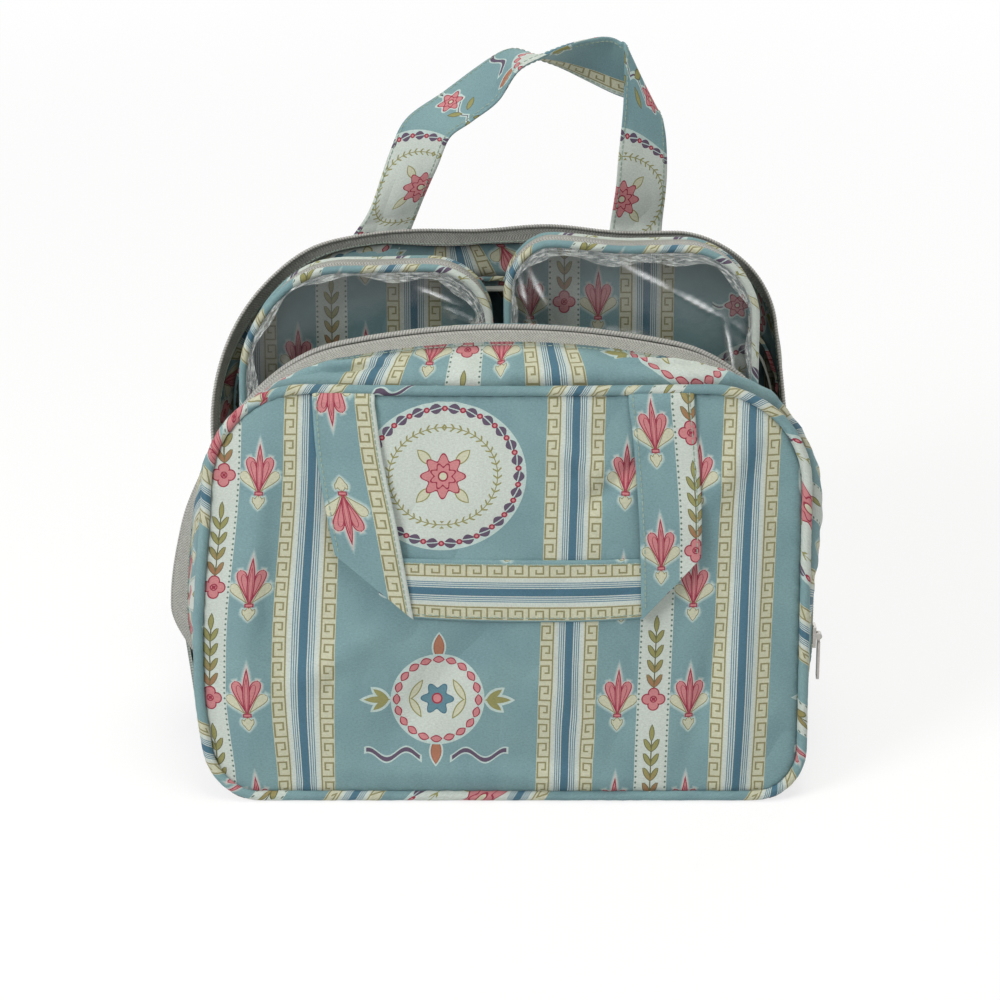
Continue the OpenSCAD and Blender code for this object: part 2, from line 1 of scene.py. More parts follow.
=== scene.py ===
# %% [markdown]
# # A soft toiletry bag, dressed in cloth
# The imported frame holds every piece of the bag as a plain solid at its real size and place. This lesson
# replaces the soft solids by cloth: printed panels with corded edges, woven zip tape with coil teeth,
# folded straps and two pouches with clear fronts. The metal sliders and pulls stay as they are and only
# get a finish. Lengths are in millimetres until a mesh is made, because that is how a bag maker measures.

# %% Load the frame
from math import atan2, cos, radians, sin, tan

import bpy
import numpy as np
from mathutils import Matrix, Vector


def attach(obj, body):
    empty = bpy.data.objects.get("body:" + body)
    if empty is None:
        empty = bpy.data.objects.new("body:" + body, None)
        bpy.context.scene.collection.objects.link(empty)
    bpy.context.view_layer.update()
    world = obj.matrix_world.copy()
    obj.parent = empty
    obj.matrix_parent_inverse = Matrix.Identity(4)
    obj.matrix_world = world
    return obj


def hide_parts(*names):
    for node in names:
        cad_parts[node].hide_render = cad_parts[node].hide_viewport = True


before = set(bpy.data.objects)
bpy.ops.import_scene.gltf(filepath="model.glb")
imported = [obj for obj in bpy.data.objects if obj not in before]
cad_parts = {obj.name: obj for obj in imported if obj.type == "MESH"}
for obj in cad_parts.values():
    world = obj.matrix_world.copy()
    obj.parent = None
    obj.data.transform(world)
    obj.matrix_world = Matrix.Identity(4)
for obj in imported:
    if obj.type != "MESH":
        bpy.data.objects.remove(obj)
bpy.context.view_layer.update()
MM, TURN = 0.001, 2 * np.pi

# %% [markdown]
# ## A small kit for finishes
# Node trees are easier to read as sums. `Value` wraps one socket, so that `1 - mask` adds a Math node by
# itself. `Finish` is a material under construction: its `node` method adds any node, with its settings
# set before its sockets. Colours go through Mix nodes, because a Math node would turn them grey.


# %% Shader kit
class Value:
    """One number on its way through a shader; each operator adds a Math node and returns its result."""

    def __init__(self, finish, socket):
        self.finish, self.socket = finish, socket

    def math(self, operation, *others):
        inputs = dict(enumerate((self, *others)))
        return self.finish.node("ShaderNodeMath", {"operation": operation}, inputs)

    def __add__(self, other):
        return self.math("ADD", other)

    def __sub__(self, other):
        return self.math("SUBTRACT", other)

    def __rsub__(self, other):
        return self.finish.node("ShaderNodeMath", {"operation": "SUBTRACT"}, {0: other, 1: self})

    def __mul__(self, other):
        return self.math("MULTIPLY", other)

    def __truediv__(self, other):
        return self.math("DIVIDE", other)

    def __lt__(self, other):
        return self.math("LESS_THAN", other)

    def __gt__(self, other):
        return self.math("GREATER_THAN", other)

    def __abs__(self):
        return self.math("ABSOLUTE")

    __radd__, __rmul__ = __add__, __mul__

    def min(self, other):
        return self.math("MINIMUM", other)

    def max(self, other):
        return self.math("MAXIMUM", other)

    def wrap(self, half):
        """The value folded into a repeat that runs from -half to half."""
        return self.math("WRAP", half, -half)

    def mirror(self, half):
        """Distance from the nearest multiple of twice half."""
        return self.math("PINGPONG", half)


class Finish:
    """A material under construction, with its shader's constant sockets set from keywords."""

    def __init__(self, name, **constants):
        self.material = bpy.data.materials.new(name)
        self.material.use_nodes = True
        self.tree = self.material.node_tree
        self.shader = self.tree.nodes["Principled BSDF"]
        for key, value in constants.items():
            self.shader.inputs[key.replace("_", " ")].default_value = value

    def node(self, kind, settings=None, inputs=None, out=0):
        made = self.tree.nodes.new(kind)
        for key, value in (settings or {}).items():
            setattr(made, key, value)
        for key, value in (inputs or {}).items():
            if isinstance(value, Value):
                self.tree.links.new(value.socket, made.inputs[key])
            else:
                made.inputs[key].default_value = value
        return Value(self, made.outputs[out])

    def mix(self, mask, low, high):
        """The colour low where mask is 0 and high where it is 1."""
        return self.node("ShaderNodeMix", {"data_type": "RGBA"}, {0: mask, 6: low, 7: high}, out=2)

    def split(self, vector):
        parts = self.node("ShaderNodeSeparateXYZ", None, {0: vector})
        return [Value(self, parts.socket.node.outputs[i]) for i in range(3)]

    def cloth(self):
        """Place on the flat cloth: across and along in millimetres, and a third value that each finish reads
        in its own way, for most cloth 0 on the face, 1 on the inner side and more by a seam."""
        return self.node("ShaderNodeAttribute", {"attribute_name": "cloth"}, out=1)

    def scaled(self, vector, factors):
        return self.node("ShaderNodeVectorMath", {"operation": "MULTIPLY"}, {0: vector, 1: factors})

    def weave(self, u, v, pitch):
        """Threads that cross: the product of a sine along each direction."""
        return (u * (TURN / pitch)).math("SINE") * (v * (TURN / pitch)).math("SINE")

    def noise(self, vector, scale, detail=2.0):
        return self.node("ShaderNodeTexNoise", None, {"Vector": vector, "Scale": scale, "Detail": detail})

    def bump(self, height, distance, strength):
        inputs = {"Height": height, "Distance": distance, "Strength": strength}
        return self.node("ShaderNodeBump", None, inputs)

    def feed(self, **links):
        for key, value in links.items():
            self.tree.links.new(value.socket, self.shader.inputs[key.replace("_", " ")])
        return self.material


def ink(red, green, blue):
    """A colour given in screen values from 0 to 255, turned into linear light."""
    share = np.array([red, green, blue]) / 255
    linear = np.where(share <= 0.04045, share / 12.92, ((share + 0.055) / 1.055) ** 2.4)
    return (*linear.tolist(), 1.0)


print("shader kit ready")

# %% [markdown]
# ## Floor, light and camera
# A plain pale floor and soft studio light show cloth best. The floor answers camera rays partly by
# itself, so it looks white without more light on the bag, and it still takes the bag's shadow; far from
# the bag it is all white, so no horizon shows. The camera looks down from the front, far enough away for
# a long lens, as one would picture a product on a table.

# %% Floor and light
FLOOR_SIZE = 8.0
FLOOR_GLOW, FLOOR_NEAR, FLOOR_FADE = 0.74, 0.5, 0.9
scene = bpy.context.scene
scene.view_settings.view_transform = "Standard"

corners = np.array([[-1, -1, 0], [1, -1, 0], [1, 1, 0], [-1, 1, 0]]) * FLOOR_SIZE / 2
floor_mesh = bpy.data.meshes.new("floor")
floor_mesh.from_pydata(corners.tolist(), [], [(0, 1, 2, 3)])
floor = bpy.data.objects.new("floor", floor_mesh)
scene.collection.objects.link(floor)

paper = Finish("floor_paper", Base_Color=(0.9, 0.9, 0.9, 1), Roughness=0.9)
rays = [paper.node("ShaderNodeLightPath", out=i) for i in (0, 3, 6)]
spot = paper.node("ShaderNodeTexCoord", out=3)
far = paper.node("ShaderNodeVectorMath", {"operation": "LENGTH"}, {0: spot}, out=1)
fade = ((far - FLOOR_NEAR) / FLOOR_FADE).max(0.0).min(1.0)
seen = rays[0].max(rays[1]).max(rays[2]) * (fade * (1 - FLOOR_GLOW) + FLOOR_GLOW)
glow = paper.node("ShaderNodeEmission", None, {"Color": (1, 1, 1, 1), "Strength": 1.0})
blend = paper.node("ShaderNodeMixShader", None, {0: seen})
paper.tree.links.new(paper.shader.outputs[0], blend.socket.node.inputs[1])
paper.tree.links.new(glow.socket, blend.socket.node.inputs[2])
paper.tree.links.new(blend.socket, paper.tree.nodes["Material Output"].inputs["Surface"])
floor_mesh.materials.append(paper.material)

WORLD_LIGHT = 0.28
world = bpy.data.worlds.new("studio")
scene.world = world
world.use_nodes = True
sky, out = world.node_tree.nodes["Background"], world.node_tree.nodes["World Output"]
sky.inputs["Color"].default_value = (0.97, 0.985, 1.0, 1)
sky.inputs["Strength"].default_value = WORLD_LIGHT
white = world.node_tree.nodes.new("ShaderNodeBackground")
white.inputs["Color"].default_value = (1, 1, 1, 1)
path = world.node_tree.nodes.new("ShaderNodeLightPath")
pick = world.node_tree.nodes.new("ShaderNodeMixShader")
either, any_of = [world.node_tree.nodes.new("ShaderNodeMath") for _ in range(2)]
either.operation = any_of.operation = "MAXIMUM"
world_links = (
    (path.outputs["Is Camera Ray"], either.inputs[0]),
    (path.outputs["Is Glossy Ray"], either.inputs[1]),
    (either.outputs[0], any_of.inputs[0]),
    (path.outputs["Is Transmission Ray"], any_of.inputs[1]),
    (any_of.outputs[0], pick.inputs[0]),
    (sky.outputs[0], pick.inputs[1]),
    (white.outputs[0], pick.inputs[2]),
    (pick.outputs[0], out.inputs["Surface"]))
for source, target in world_links:
    world.node_tree.links.new(source, target)


def soft_box(name, place, aim, width, watts, tint=(1, 1, 1)):
    """A square area lamp of that width that looks from its place at a point."""
    lamp = bpy.data.lights.new(name, "AREA")
    lamp.size, lamp.energy, lamp.color = width, watts, tint
    lamp_object = bpy.data.objects.new(name, lamp)
    lamp_object.location = place
    lamp_object.rotation_euler = (Vector(aim) - Vector(place)).to_track_quat("-Z", "Y").to_euler()
    scene.collection.objects.link(lamp_object)


soft_box("key", (-1.3, -0.9, 1.3), (0, 0, 0.1), 0.7, 24)
soft_box("fill", (1.5, -1.1, 1.0), (0, 0, 0.1), 1.2, 5)
soft_box("top", (0.15, -0.1, 1.9), (0, 0.02, 0.1), 0.9, 16, (1, 0.985, 0.9))
soft_box("back", (0.7, 1.7, 1.1), (0, 0.1, 0.12), 1.2, 7)
print("stage and lamps set")

# %% Camera
CAMERA_AIM = np.array([-3.5, 0, 138]) * MM
CAMERA_DISTANCE = 1.4
CAMERA_PITCH = radians(27)
camera_data = bpy.data.cameras.new("camera")
camera_data.lens = 101
camera = bpy.data.objects.new("camera", camera_data)
camera.location = CAMERA_AIM + CAMERA_DISTANCE * np.array([0, -cos(CAMERA_PITCH), sin(CAMERA_PITCH)])
camera.rotation_euler = (radians(90) - CAMERA_PITCH, 0, 0)
scene.collection.objects.link(camera)
scene.camera = camera
print("camera at", [round(c, 3) for c in camera.location])

# %% [markdown]
# ## The seams
# A bag is drafted by its seams: outlines with rounded corners that lean back one behind the other. Every
# panel fills a seam, every cord follows one and every strip runs from one to the next. `Seam.flat` walks
# an outline with one number, `tau`: 0 is the middle of the bottom, 3 the right end of the zip, 6 the
# middle of the top and 9 the left end of the zip. Equal values of `tau` on two seams are sewn to each
# other.

# %% Sizes of the bag
BAG_W, FRONT_H, FRONT_DEPTH, MAIN_DEPTH, OPEN_RISE = 300, 207, 52, 70, 26
FRONT_LEAN, ZIP_LEAN, BACK_LEAN = 16, 10, 14
PANEL_T, GUSSET_T, TAPE_T, TAPE_W = 2.0, 1.6, 1.0, 8.5
PIPING_R, POUCH_PIPING_R = 2.6, 1.6
TOOTH_W, TOOTH_H, ROW_GAP = 2.4, 2.2, 1.0
ZIP_END_Z, POUCH_ZIP_END = 50, 34
STRAP_W, STRAP_T, HANDLE_RISE = 33, 2.2, 126
POUCH_H, POUCH_D, POUCH_CLEAR, POUCH_BETWEEN, POUCH_SIDE_ROOM = 230, 28, 16, 6, 12.2
POUCH_SLIDE, POUCH_SAG = -4.2, 5
FRONT_BULGE, BACK_BULGE, WINDOW_BULGE = 7, 3, 4
SEAM_GAP = 0.3
ZIP_SLOPE, FAR_SLOPE = 1.8, 4.6
FRONT_R, FRONT_ARCH, BACK_R, FOOT_R = 50, -2, 62, 24
OPEN_R, OPEN_LEFT_R, OPEN_SWAY = 46, 108, -16
ZIP_OUT, DIVIDER_OUT, OPEN_OUT, BACK_IN = 8, 4, 3, 2
DIVIDER_DROP, FOLD_DROP = 8, 17
POUCH_FOOT_R, POUCH_ARCH = 16, 1
FRONT_SAG, ZIP_SAG, SEWN_SAG, DIVIDER_SAG = 6, 15, 7, 13
SAG_SIDE, SAG_RISE, ZIP_SAG_RISE, SAG_FALL = (0.45, 0.9), (0, 60), (38, 76), (76, 168)
ROW_OFF = (ROW_GAP + TOOTH_W) / 2
ROW_SIDE = ROW_GAP / 2 + TOOTH_W
TAPE_END = ROW_SIDE + SEAM_GAP / 2 + TAPE_W


def smooth(value, low, high):
    """0 below low, 1 above high and a smooth ramp between them."""
    t = np.clip((value - low) / (high - low), 0, 1)
    return t * t * (3 - 2 * t)


class Seam:
    """A leaning outline: straight sides between rounded corners, and a top edge that arches. A slumped one
    has a rounder left shoulder, its top sways to one side, or its left side sags outwards."""

    def __init__(self, half, height, top_r, foot_r, arch, y, z, lean, x=0.0, zip_end=None, left_r=None,
                 sway=0.0, sag=0.0, rise=SAG_RISE):
        self.half, self.height, self.top_r, self.foot_r, self.arch = half, height, top_r, foot_r, arch
        self.x, self.y, self.z, self.lean = x, y, z, radians(lean)
        self.zip_end = zip_end or (ZIP_END_Z - z) / cos(self.lean)
        self.left_r, self.sway, self.sag, self.rise = left_r or top_r, sway, sag, rise

    def flat(self, tau, inward=0.0, arched=True):
        """Across and up the slope: the sum of six stretches, each walked in one step of tau."""
        tau = np.mod(tau, 12)
        side = np.where(tau > 6, -1, 1)
        step = [np.clip(np.minimum(tau, 12 - tau) - k, 0, 1) for k in range(6)]
        a, h = self.half - inward, self.height - 2 * inward
        rt = np.where(side > 0, self.top_r, self.left_r) - inward
        rb, e = self.foot_r - inward, self.zip_end - inward
        foot, top = step[1] * np.pi / 2, step[4] * np.pi / 2
        x = (a - rb) * step[0] + rb * np.sin(foot) - rt * (1 - np.cos(top)) - (a - rt) * step[5]
        s = rb * (1 - np.cos(foot)) + (e - rb) * step[2] + (h - rt - e) * step[3] + rt * np.sin(top)
        s = s + np.where(step[4] > 0, self.arch * (1 - (x / a) ** 2), 0) * arched
        return side * x, s + inward

    def place(self, x, s, back):
        """Point of the leaning plane, across, up the slope and behind it, in the frame."""
        x, s, back = np.broadcast_arrays(x, s, back)
        lift = np.maximum(s - self.zip_end, 0) / (self.height - self.zip_end)
        y = self.y - BASE_MID + s * sin(self.lean) + back * cos(self.lean)
        z = self.z + s * cos(self.lean) - back * sin(self.lean)
        sag = self.sag * smooth(-x / self.half, *SAG_SIDE) * smooth(z, *self.rise)
        sag = sag * (1 - smooth(z, *SAG_FALL))
        return np.stack([self.x + x + self.sway * lift**2 - sag, y, z], axis=-1)

    def path(self, tau, inward=0.0, back=0.0):
        x, s = self.flat(tau, inward)
        return self.place(x, s, back)

    def set_back(self, depth):
        """The same outline so far behind its own plane."""
        y, z = self.y + depth * cos(self.lean), self.z - depth * sin(self.lean)
        return Seam(self.half, self.height, self.top_r, self.foot_r, self.arch, y, z, np.degrees(self.lean),
                    self.x, self.zip_end, self.left_r)


print("bag drafted", BAG_W, "mm wide")

# %% Seams of the bag
front_half = BAG_W / 2 - PIPING_R
divider_off = TAPE_END + SEAM_GAP + PIPING_R
fold_off = divider_off + PIPING_R + SEAM_GAP + TAPE_W + ROW_OFF
divider_y = FRONT_DEPTH + divider_off / cos(radians(ZIP_LEAN))
fold_y = FRONT_DEPTH + fold_off / cos(radians(ZIP_LEAN))
back_y = divider_y + MAIN_DEPTH
BASE_MID = divider_y - 2 * PIPING_R - TAPE_T
ZIP_H, ZIP_ARCH, ZIP_R = FRONT_H - 16, 30, 72
BACK_H, BACK_ARCH, OPEN_ARCH = FRONT_H - 4, 6, 2
back_top_y = back_y + (BACK_H + BACK_ARCH) * sin(radians(BACK_LEAN))
back_top_z = PIPING_R + (BACK_H + BACK_ARCH) * cos(radians(BACK_LEAN))
open_top_z = back_top_z + OPEN_RISE
open_start_y = fold_y + ZIP_END_Z * tan(radians(ZIP_LEAN)) + 2 * ROW_OFF + ROW_GAP * 0.2
open_lean = atan2(back_top_y + PIPING_R - open_start_y, open_top_z - ZIP_END_Z)
open_y = open_start_y - ZIP_END_Z * tan(open_lean)
open_h = open_top_z / cos(open_lean) - OPEN_ARCH

front_seam = Seam(front_half, FRONT_H, FRONT_R, FOOT_R, FRONT_ARCH, 0, PIPING_R, FRONT_LEAN, sag=FRONT_SAG)
zip_seam, sewn_seam = [Seam(front_half + ZIP_OUT, ZIP_H, ZIP_R, FOOT_R, ZIP_ARCH, FRONT_DEPTH, 0, ZIP_LEAN,
                            sag=sag, rise=ZIP_SAG_RISE) for sag in (ZIP_SAG, SEWN_SAG)]
divider_seam = Seam(front_half + DIVIDER_OUT, ZIP_H - DIVIDER_DROP, ZIP_R, FOOT_R, ZIP_ARCH, divider_y,
                    PIPING_R, ZIP_LEAN, sag=DIVIDER_SAG)
fold_seam = Seam(front_half + OPEN_OUT, ZIP_H - FOLD_DROP, ZIP_R, FOOT_R, ZIP_ARCH, fold_y, 0, ZIP_LEAN)
open_seam = Seam(front_half + OPEN_OUT, open_h, OPEN_R, FOOT_R, OPEN_ARCH, open_y, 0, np.degrees(open_lean),
                 left_r=OPEN_LEFT_R, sway=OPEN_SWAY)
back_seam = Seam(front_half - BACK_IN, BACK_H, BACK_R, FOOT_R, BACK_ARCH, back_y, PIPING_R, BACK_LEAN)

pouch_lean = atan2(back_top_y - back_y, open_top_z)
pouch_w = back_seam.half - POUCH_SIDE_ROOM - POUCH_BETWEEN / 2
pouch_x = (POUCH_BETWEEN + pouch_w) / 2
pouch_y = back_y - POUCH_CLEAR - POUCH_D / cos(pouch_lean)
pouch_z = GUSSET_T + SEAM_GAP + POUCH_PIPING_R + (POUCH_D + POUCH_PIPING_R) * sin(pouch_lean)
pouch_seams = {}
for name, side, left_r, right_r in (("left", -1, 58, 30), ("right", 1, 23, 36)):
    pouch_seams[name] = Seam(pouch_w / 2 - POUCH_PIPING_R, POUCH_H + side * POUCH_SAG, right_r, POUCH_FOOT_R,
                             POUCH_ARCH, pouch_y, pouch_z, np.degrees(pouch_lean),
                             side * pouch_x + POUCH_SLIDE, POUCH_ZIP_END, left_r)


def stretch(ends, counts):
    """Values of tau through the given ends, with so many steps on each stretch."""
    runs = [np.linspace(a, b, n, endpoint=False) for a, b, n in zip(ends, ends[1:], counts)]
    return np.concatenate(runs + [[ends[-1]]])


OVER = stretch([9, 8, 7, 6, 5, 4, 3], [36, 34, 34, 34, 34, 36])
UNDER = stretch([9, 10, 11, 12, 13, 14, 15], [8, 14, 34, 34, 14, 8])
RING = stretch(list(range(13)), [34, 14, 8, 36, 34, 34, 34, 34, 36, 8, 14, 34])
top_of = {name: seam.path(np.array([6.0]))[0].round(1).tolist() for name, seam in
          (("front", front_seam), ("zip", zip_seam), ("open", open_seam), ("back", back_seam))}
print("seam tops:", top_of)

# %% [markdown]
# ## From arrays to meshes
# Every soft piece is a closed skin: rings of points, one behind the other along a path. A flat strip
# becomes such rings when its face and its back are pushed apart by half its thickness. Each corner of a
# face also carries its place on the flat cloth, so that a print follows the strip round a bend. A real
# bag is never quite symmetrical, so one smooth field, `slouch`, moves all cloth alike; it is still near
# the sliders, which have to keep running.


# %% Mesh helpers
LOOSE_Y, LOOSE_Z = (40, 85), (204, 240)


def slouch(points):
    """Cloth above the sliders' runs is never quite even: a slow wave of a millimetre or so moves it."""
    x, y, z = np.moveaxis(points, -1, 0)
    loose = smooth(z, *LOOSE_Z) * smooth(y, *LOOSE_Y)
    wave = 1.3 * np.sin(x / 23 + 0.8) + 0.8 * np.sin(x / 11 + z / 40)
    return points + np.stack([0 * x, 0.5 * wave * loose, wave * loose], axis=-1)


def unit(vectors):
    return vectors / np.maximum(np.linalg.norm(vectors, axis=-1, keepdims=True), 1e-9)


def normals(points):
    """Directions square to a sheet of points: the cross product of its two tangents."""
    return unit(np.cross(np.gradient(points, axis=0), np.gradient(points, axis=1)))


def run_length(points):
    """Distance walked along a line of points, from its first."""
    steps = np.linalg.norm(np.diff(points, axis=0), axis=-1)
    return np.concatenate([[0], np.cumsum(steps)])


def build(name, points, faces, cloth, material, replaces):
    """Writes points and quads into a mesh, with the cloth coordinates of each face corner."""
    p = points[faces]
    volume = np.einsum("ij,ij->", p[:, 0], np.cross(p[:, 1], p[:, 2]) + np.cross(p[:, 2], p[:, 3]))
    if volume < 0:
        faces, cloth = faces[:, ::-1], cloth[:, ::-1]
    mesh = bpy.data.meshes.new(name)
    mesh.vertices.add(len(points))
    mesh.vertices.foreach_set("co", (points * MM).astype(np.float32).ravel())
    mesh.loops.add(faces.size)
    mesh.loops.foreach_set("vertex_index", faces.astype(np.int32).ravel())
    mesh.polygons.add(len(faces))
    mesh.polygons.foreach_set("loop_start", np.arange(0, faces.size, 4, dtype=np.int32))
    mesh.update(calc_edges=True)
    place = mesh.attributes.new("cloth", "FLOAT_VECTOR", "CORNER")
    place.data.foreach_set("vector", cloth.astype(np.float32).ravel())
    mesh.polygons.foreach_set("use_smooth", np.ones(len(faces), bool))
    mesh.set_sharp_from_angle(angle=radians(50))
    mesh.materials.append(material)
    piece = bpy.data.objects.new(name, mesh)
    scene.collection.objects.link(piece)
    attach(piece, "bag")
    if replaces:
        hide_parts(*replaces)
    return piece


def skin(name, rings, cloth, material, slot, replaces=(), closed=False):
    """Joins rings[i, k] to their neighbours. The last point of a ring repeats its first; a closed run of
    rings repeats its first ring, and an open one gets a cap at each end, made of quads from side to side."""
    count, around = rings.shape[0] - 1, rings.shape[1] - 1
    i, k = np.meshgrid(np.arange(count), np.arange(around), indexing="ij")
    corner = np.stack([np.stack([i + a, k + b], -1) for a, b in ((0, 0), (1, 0), (1, 1), (0, 1))], axis=2)
    corner = corner.reshape(-1, 4, 2)
    if not closed:
        j = np.arange(around // 2 - 1)
        disc = np.stack([j, j + 1, around - 2 - j, around - 1 - j], axis=-1)
        ends = ((disc, 0), (disc[:, ::-1], count))
        caps = [np.stack([np.full_like(d, row), d], axis=-1) for d, row in ends]
        corner = np.concatenate([corner, *caps])
    rows = count if closed else count + 1
    faces = np.mod(corner[..., 0], rows) * around + np.mod(corner[..., 1], around)
    points = slouch(rings[:rows, :around].reshape(-1, 3))
    return build(name, points, faces, cloth[corner[..., 0], corner[..., 1]], material, replaces)


def sheet_rings(points, cloth, thickness):
    """Closed rings round a sheet of points: its face, then its back in the other direction."""
    half = normals(points) * np.asarray(thickness)[..., None] / 2
    rings = np.concatenate([points + half, (points - half)[:, ::-1], (points + half)[:, :1]], axis=1)
    back = cloth + np.array([0, 0, 1])
    places = np.concatenate([cloth, back[:, ::-1], cloth[:, :1]], axis=1)
    return rings, places


def flat_place(across, along):
    """Cloth coordinates of a face, from two arrays of millimetres."""
    across, along = np.broadcast_arrays(across, along)
    return np.stack([across, along, np.zeros_like(across)], axis=-1)


print("mesh helpers ready")

# %% [markdown]
# ## The printed cloth
# The cloth is a light coated cotton with a classical print: columns of leaves between dotted lines, rows
# of palmettes, and bands of fine stripes between Greek keys. Between them stand oval wreaths with a
# rosette, of my own drawing. Painting a picture would need an image; here each motif is a formula on the
# flat cloth, so it is sharp at any distance. A motif's formula is a distance: below zero is inside, and a
# thin shell round zero is its outline. Motifs are laid over the ground one by one, as screens are in
# printing.

# %% Motifs of the print
REPEAT = 214.5
ROW = 56.3
BAND_X, BAND_KEY, BAND_EDGE = 43, 7.2, 14.2
GROUND, GROUND_LOW = ink(127, 157, 157), ink(97, 129, 138)
PALE, WHITE, CREAM = ink(176, 193, 189), ink(187, 195, 188), ink(187, 187, 163)
OLIVE, LEAF_OLIVE = ink(132, 128, 92), ink(136, 134, 84)
LEAF_LINE, LEAF_BROWN, BUD_BROWN = ink(94, 94, 60), ink(148, 92, 72), ink(158, 106, 82)
PINK, CRIMSON, BLUSH = ink(186, 120, 123), ink(140, 42, 62), ink(194, 168, 164)
STRIPE_BLUE, LINE_BLUE = ink(66, 103, 121), ink(86, 122, 140)
DOT_GREEN, PLUM, TEAL = ink(92, 112, 102), ink(84, 70, 90), ink(84, 122, 134)


def turned(x, y, at, degrees):
    """Coordinates about a point, turned so that y runs along a line that tilts to +x by the angle."""
    c, s = cos(radians(degrees)), sin(radians(degrees))
    return x * c - (y * s + (at[0] * c - at[1] * s)), x * s + (y * c - (at[0] * s + at[1] * c))


def lens(x, y, half_w, half_l):
    """A pointed leaf along y: half its width narrows with the square of the way to its tip."""
    share = y * (1 / half_l)
    return abs(x) + (share * share * half_w - half_w)


def petal(x, y, half_w, length):
    """A club-shaped petal from the origin along y: slender at first, with a round head."""
    share = (y * (1 / length)).max(0.0).min(1.0)
    width = share * share * (1.0 - share).math("SQRT") * (3.5 * half_w)
    return (abs(x) - width).max(y - length).max(0.0 - y)


def blob(x, y, radius):
    """A round spot."""
    return (x * x + y * y).math("SQRT") - radius


def bar(p, q, p0, p1, q0, q1):
    """An upright rectangle from p0 to p1 and from q0 to q1."""
    return (abs(p - (p0 + p1) / 2) - (p1 - p0) / 2).max(abs(q - (q0 + q1) / 2) - (q1 - q0) / 2)


def outlined(f, colour, shape, fill, line, width=0.32):
    """Lays a filled shape with an outline over the colours below it."""
    colour = f.mix(shape < width, colour, line)
    return f.mix(shape < -width, colour, fill)


def leaf_column(f, colour, x, v):
    """White column between dotted lines: a flower every row and a sprig of paired leaves above it."""
    y = v.math("FLOORED_MODULO", ROW)
    colour = f.mix(x < 8.2, colour, WHITE)
    colour = f.mix(blob(x - 7.4, v.wrap(1.35), 0) < 0.55, colour, DOT_GREEN)
    sprig = f.mix((y - 4) * (1 / 16), LEAF_BROWN, LEAF_OLIVE)
    in_sprig = (x < 7) * (y > 5.2) * (y < 36)
    colour = f.mix(in_sprig * (x < 0.32), colour, LEAF_LINE)
    leaf = lens(*turned(x, (y - 9).wrap(3.8), (1.9, 0.6), 28), 1.25, 4.1)
    colour = f.mix(in_sprig * (leaf < 0.2), colour, LEAF_LINE)
    colour = f.mix(in_sprig * (leaf < -0.22), colour, sprig)
    tip = lens(x, y - 38.6, 1.2, 4.4)
    colour = outlined(f, colour, tip, LEAF_OLIVE, LEAF_LINE, 0.2)
    near = v.mirror(ROW / 2)
    colour = outlined(f, colour, blob(x.max(near) - 3.1, x.min(near), 2.6), PINK, CRIMSON)
    colour = f.mix(abs(blob(x, near, 1.5)) < 0.3, colour, CRIMSON)
    return f.mix(blob(x, near, 0.6) < 0, colour, CRIMSON)


def palmette(f, colour, x, y):
    """A fan of pink petals that spring from a collar, with cream ones outside them and a bell below."""
    x = abs(x)
    low = y + 8.4
    spear = lens(x, low - 11.2, 1.45, 12.2)
    inner = petal(*turned(x, low, (0, 0), 16), 2.3, 18.2)
    outer = petal(*turned(x, low, (0, 0), 41), 2.3, 13.4)
    bell = lens(x, low + 4.3, 1.9, 3.6).min(lens(*turned(x, low, (1.7, -4.0), 25), 0.9, 2.2))
    halo = spear.min(inner).min(outer).min(bell)
    colour = f.mix((1.0 - (halo - 0.3) * 0.6).max(0.0).min(1.0), colour, PALE)
    colour = f.mix((1.0 - spear.min(inner) * 0.8).max(0.0).min(1.0), colour, BLUSH)
    colour = outlined(f, colour, bell, CREAM, OLIVE, 0.24)
    colour = outlined(f, colour, outer, CREAM, OLIVE, 0.24)
    colour = outlined(f, colour, inner, PINK, CRIMSON, 0.27)
    vein = petal(*turned(x, low, (0, 0), 13), 1.2, 16.0)
    colour = f.mix(abs(vein) < 0.17, colour, CRIMSON)
    colour = outlined(f, colour, spear, PINK, CRIMSON, 0.27)
    colour = f.mix(abs(lens(x, low - 10, 0.8, 9)) < 0.13, colour, CRIMSON)
    return outlined(f, colour, bar(x, low, -1.7, 1.7, -0.8, 0.7), PINK, CRIMSON, 0.28)


def key_band(f, colour, x, v):
    """Fine blue stripes in the middle, then a Greek key in olive line on cream at each side."""
    stops = ((0, STRIPE_BLUE), (1.9, WHITE), (2.4, LINE_BLUE), (3.0, WHITE), (3.5, LINE_BLUE), (4.0, WHITE),
             (4.5, LINE_BLUE), (5.0, WHITE), (BAND_KEY, CREAM))
    ramp = f.node("ShaderNodeValToRGB", None, {0: x * (1 / BAND_EDGE)})
    stripes = ramp.socket.node.color_ramp
    stripes.interpolation = "CONSTANT"
    for at, tone in stops[1:-1]:
        stripes.elements.new(at / BAND_EDGE).color = tone
    stripes.elements[0].color = stops[0][1]
    stripes.elements[-1].position, stripes.elements[-1].color = stops[-1][0] / BAND_EDGE, stops[-1][1]
    colour = f.mix(x < BAND_EDGE, colour, ramp)
    p = v.math("FLOORED_MODULO", 10.2)
    q = x - BAND_KEY
    bars = ((0, 0.85, 0.3, 6.7), (0, 8.0, 5.85, 6.7), (7.15, 8.0, 1.9, 6.7), (3.6, 8.0, 1.9, 2.75),
            (3.6, 4.4, 1.9, 4.4), (0, 10.2, 0.3, 1.0))
    line = bar(p, q, *bars[0])
    for edges in bars[1:]:
        line = line.min(bar(p, q, *edges))
    return f.mix(line < 0, colour, OLIVE)


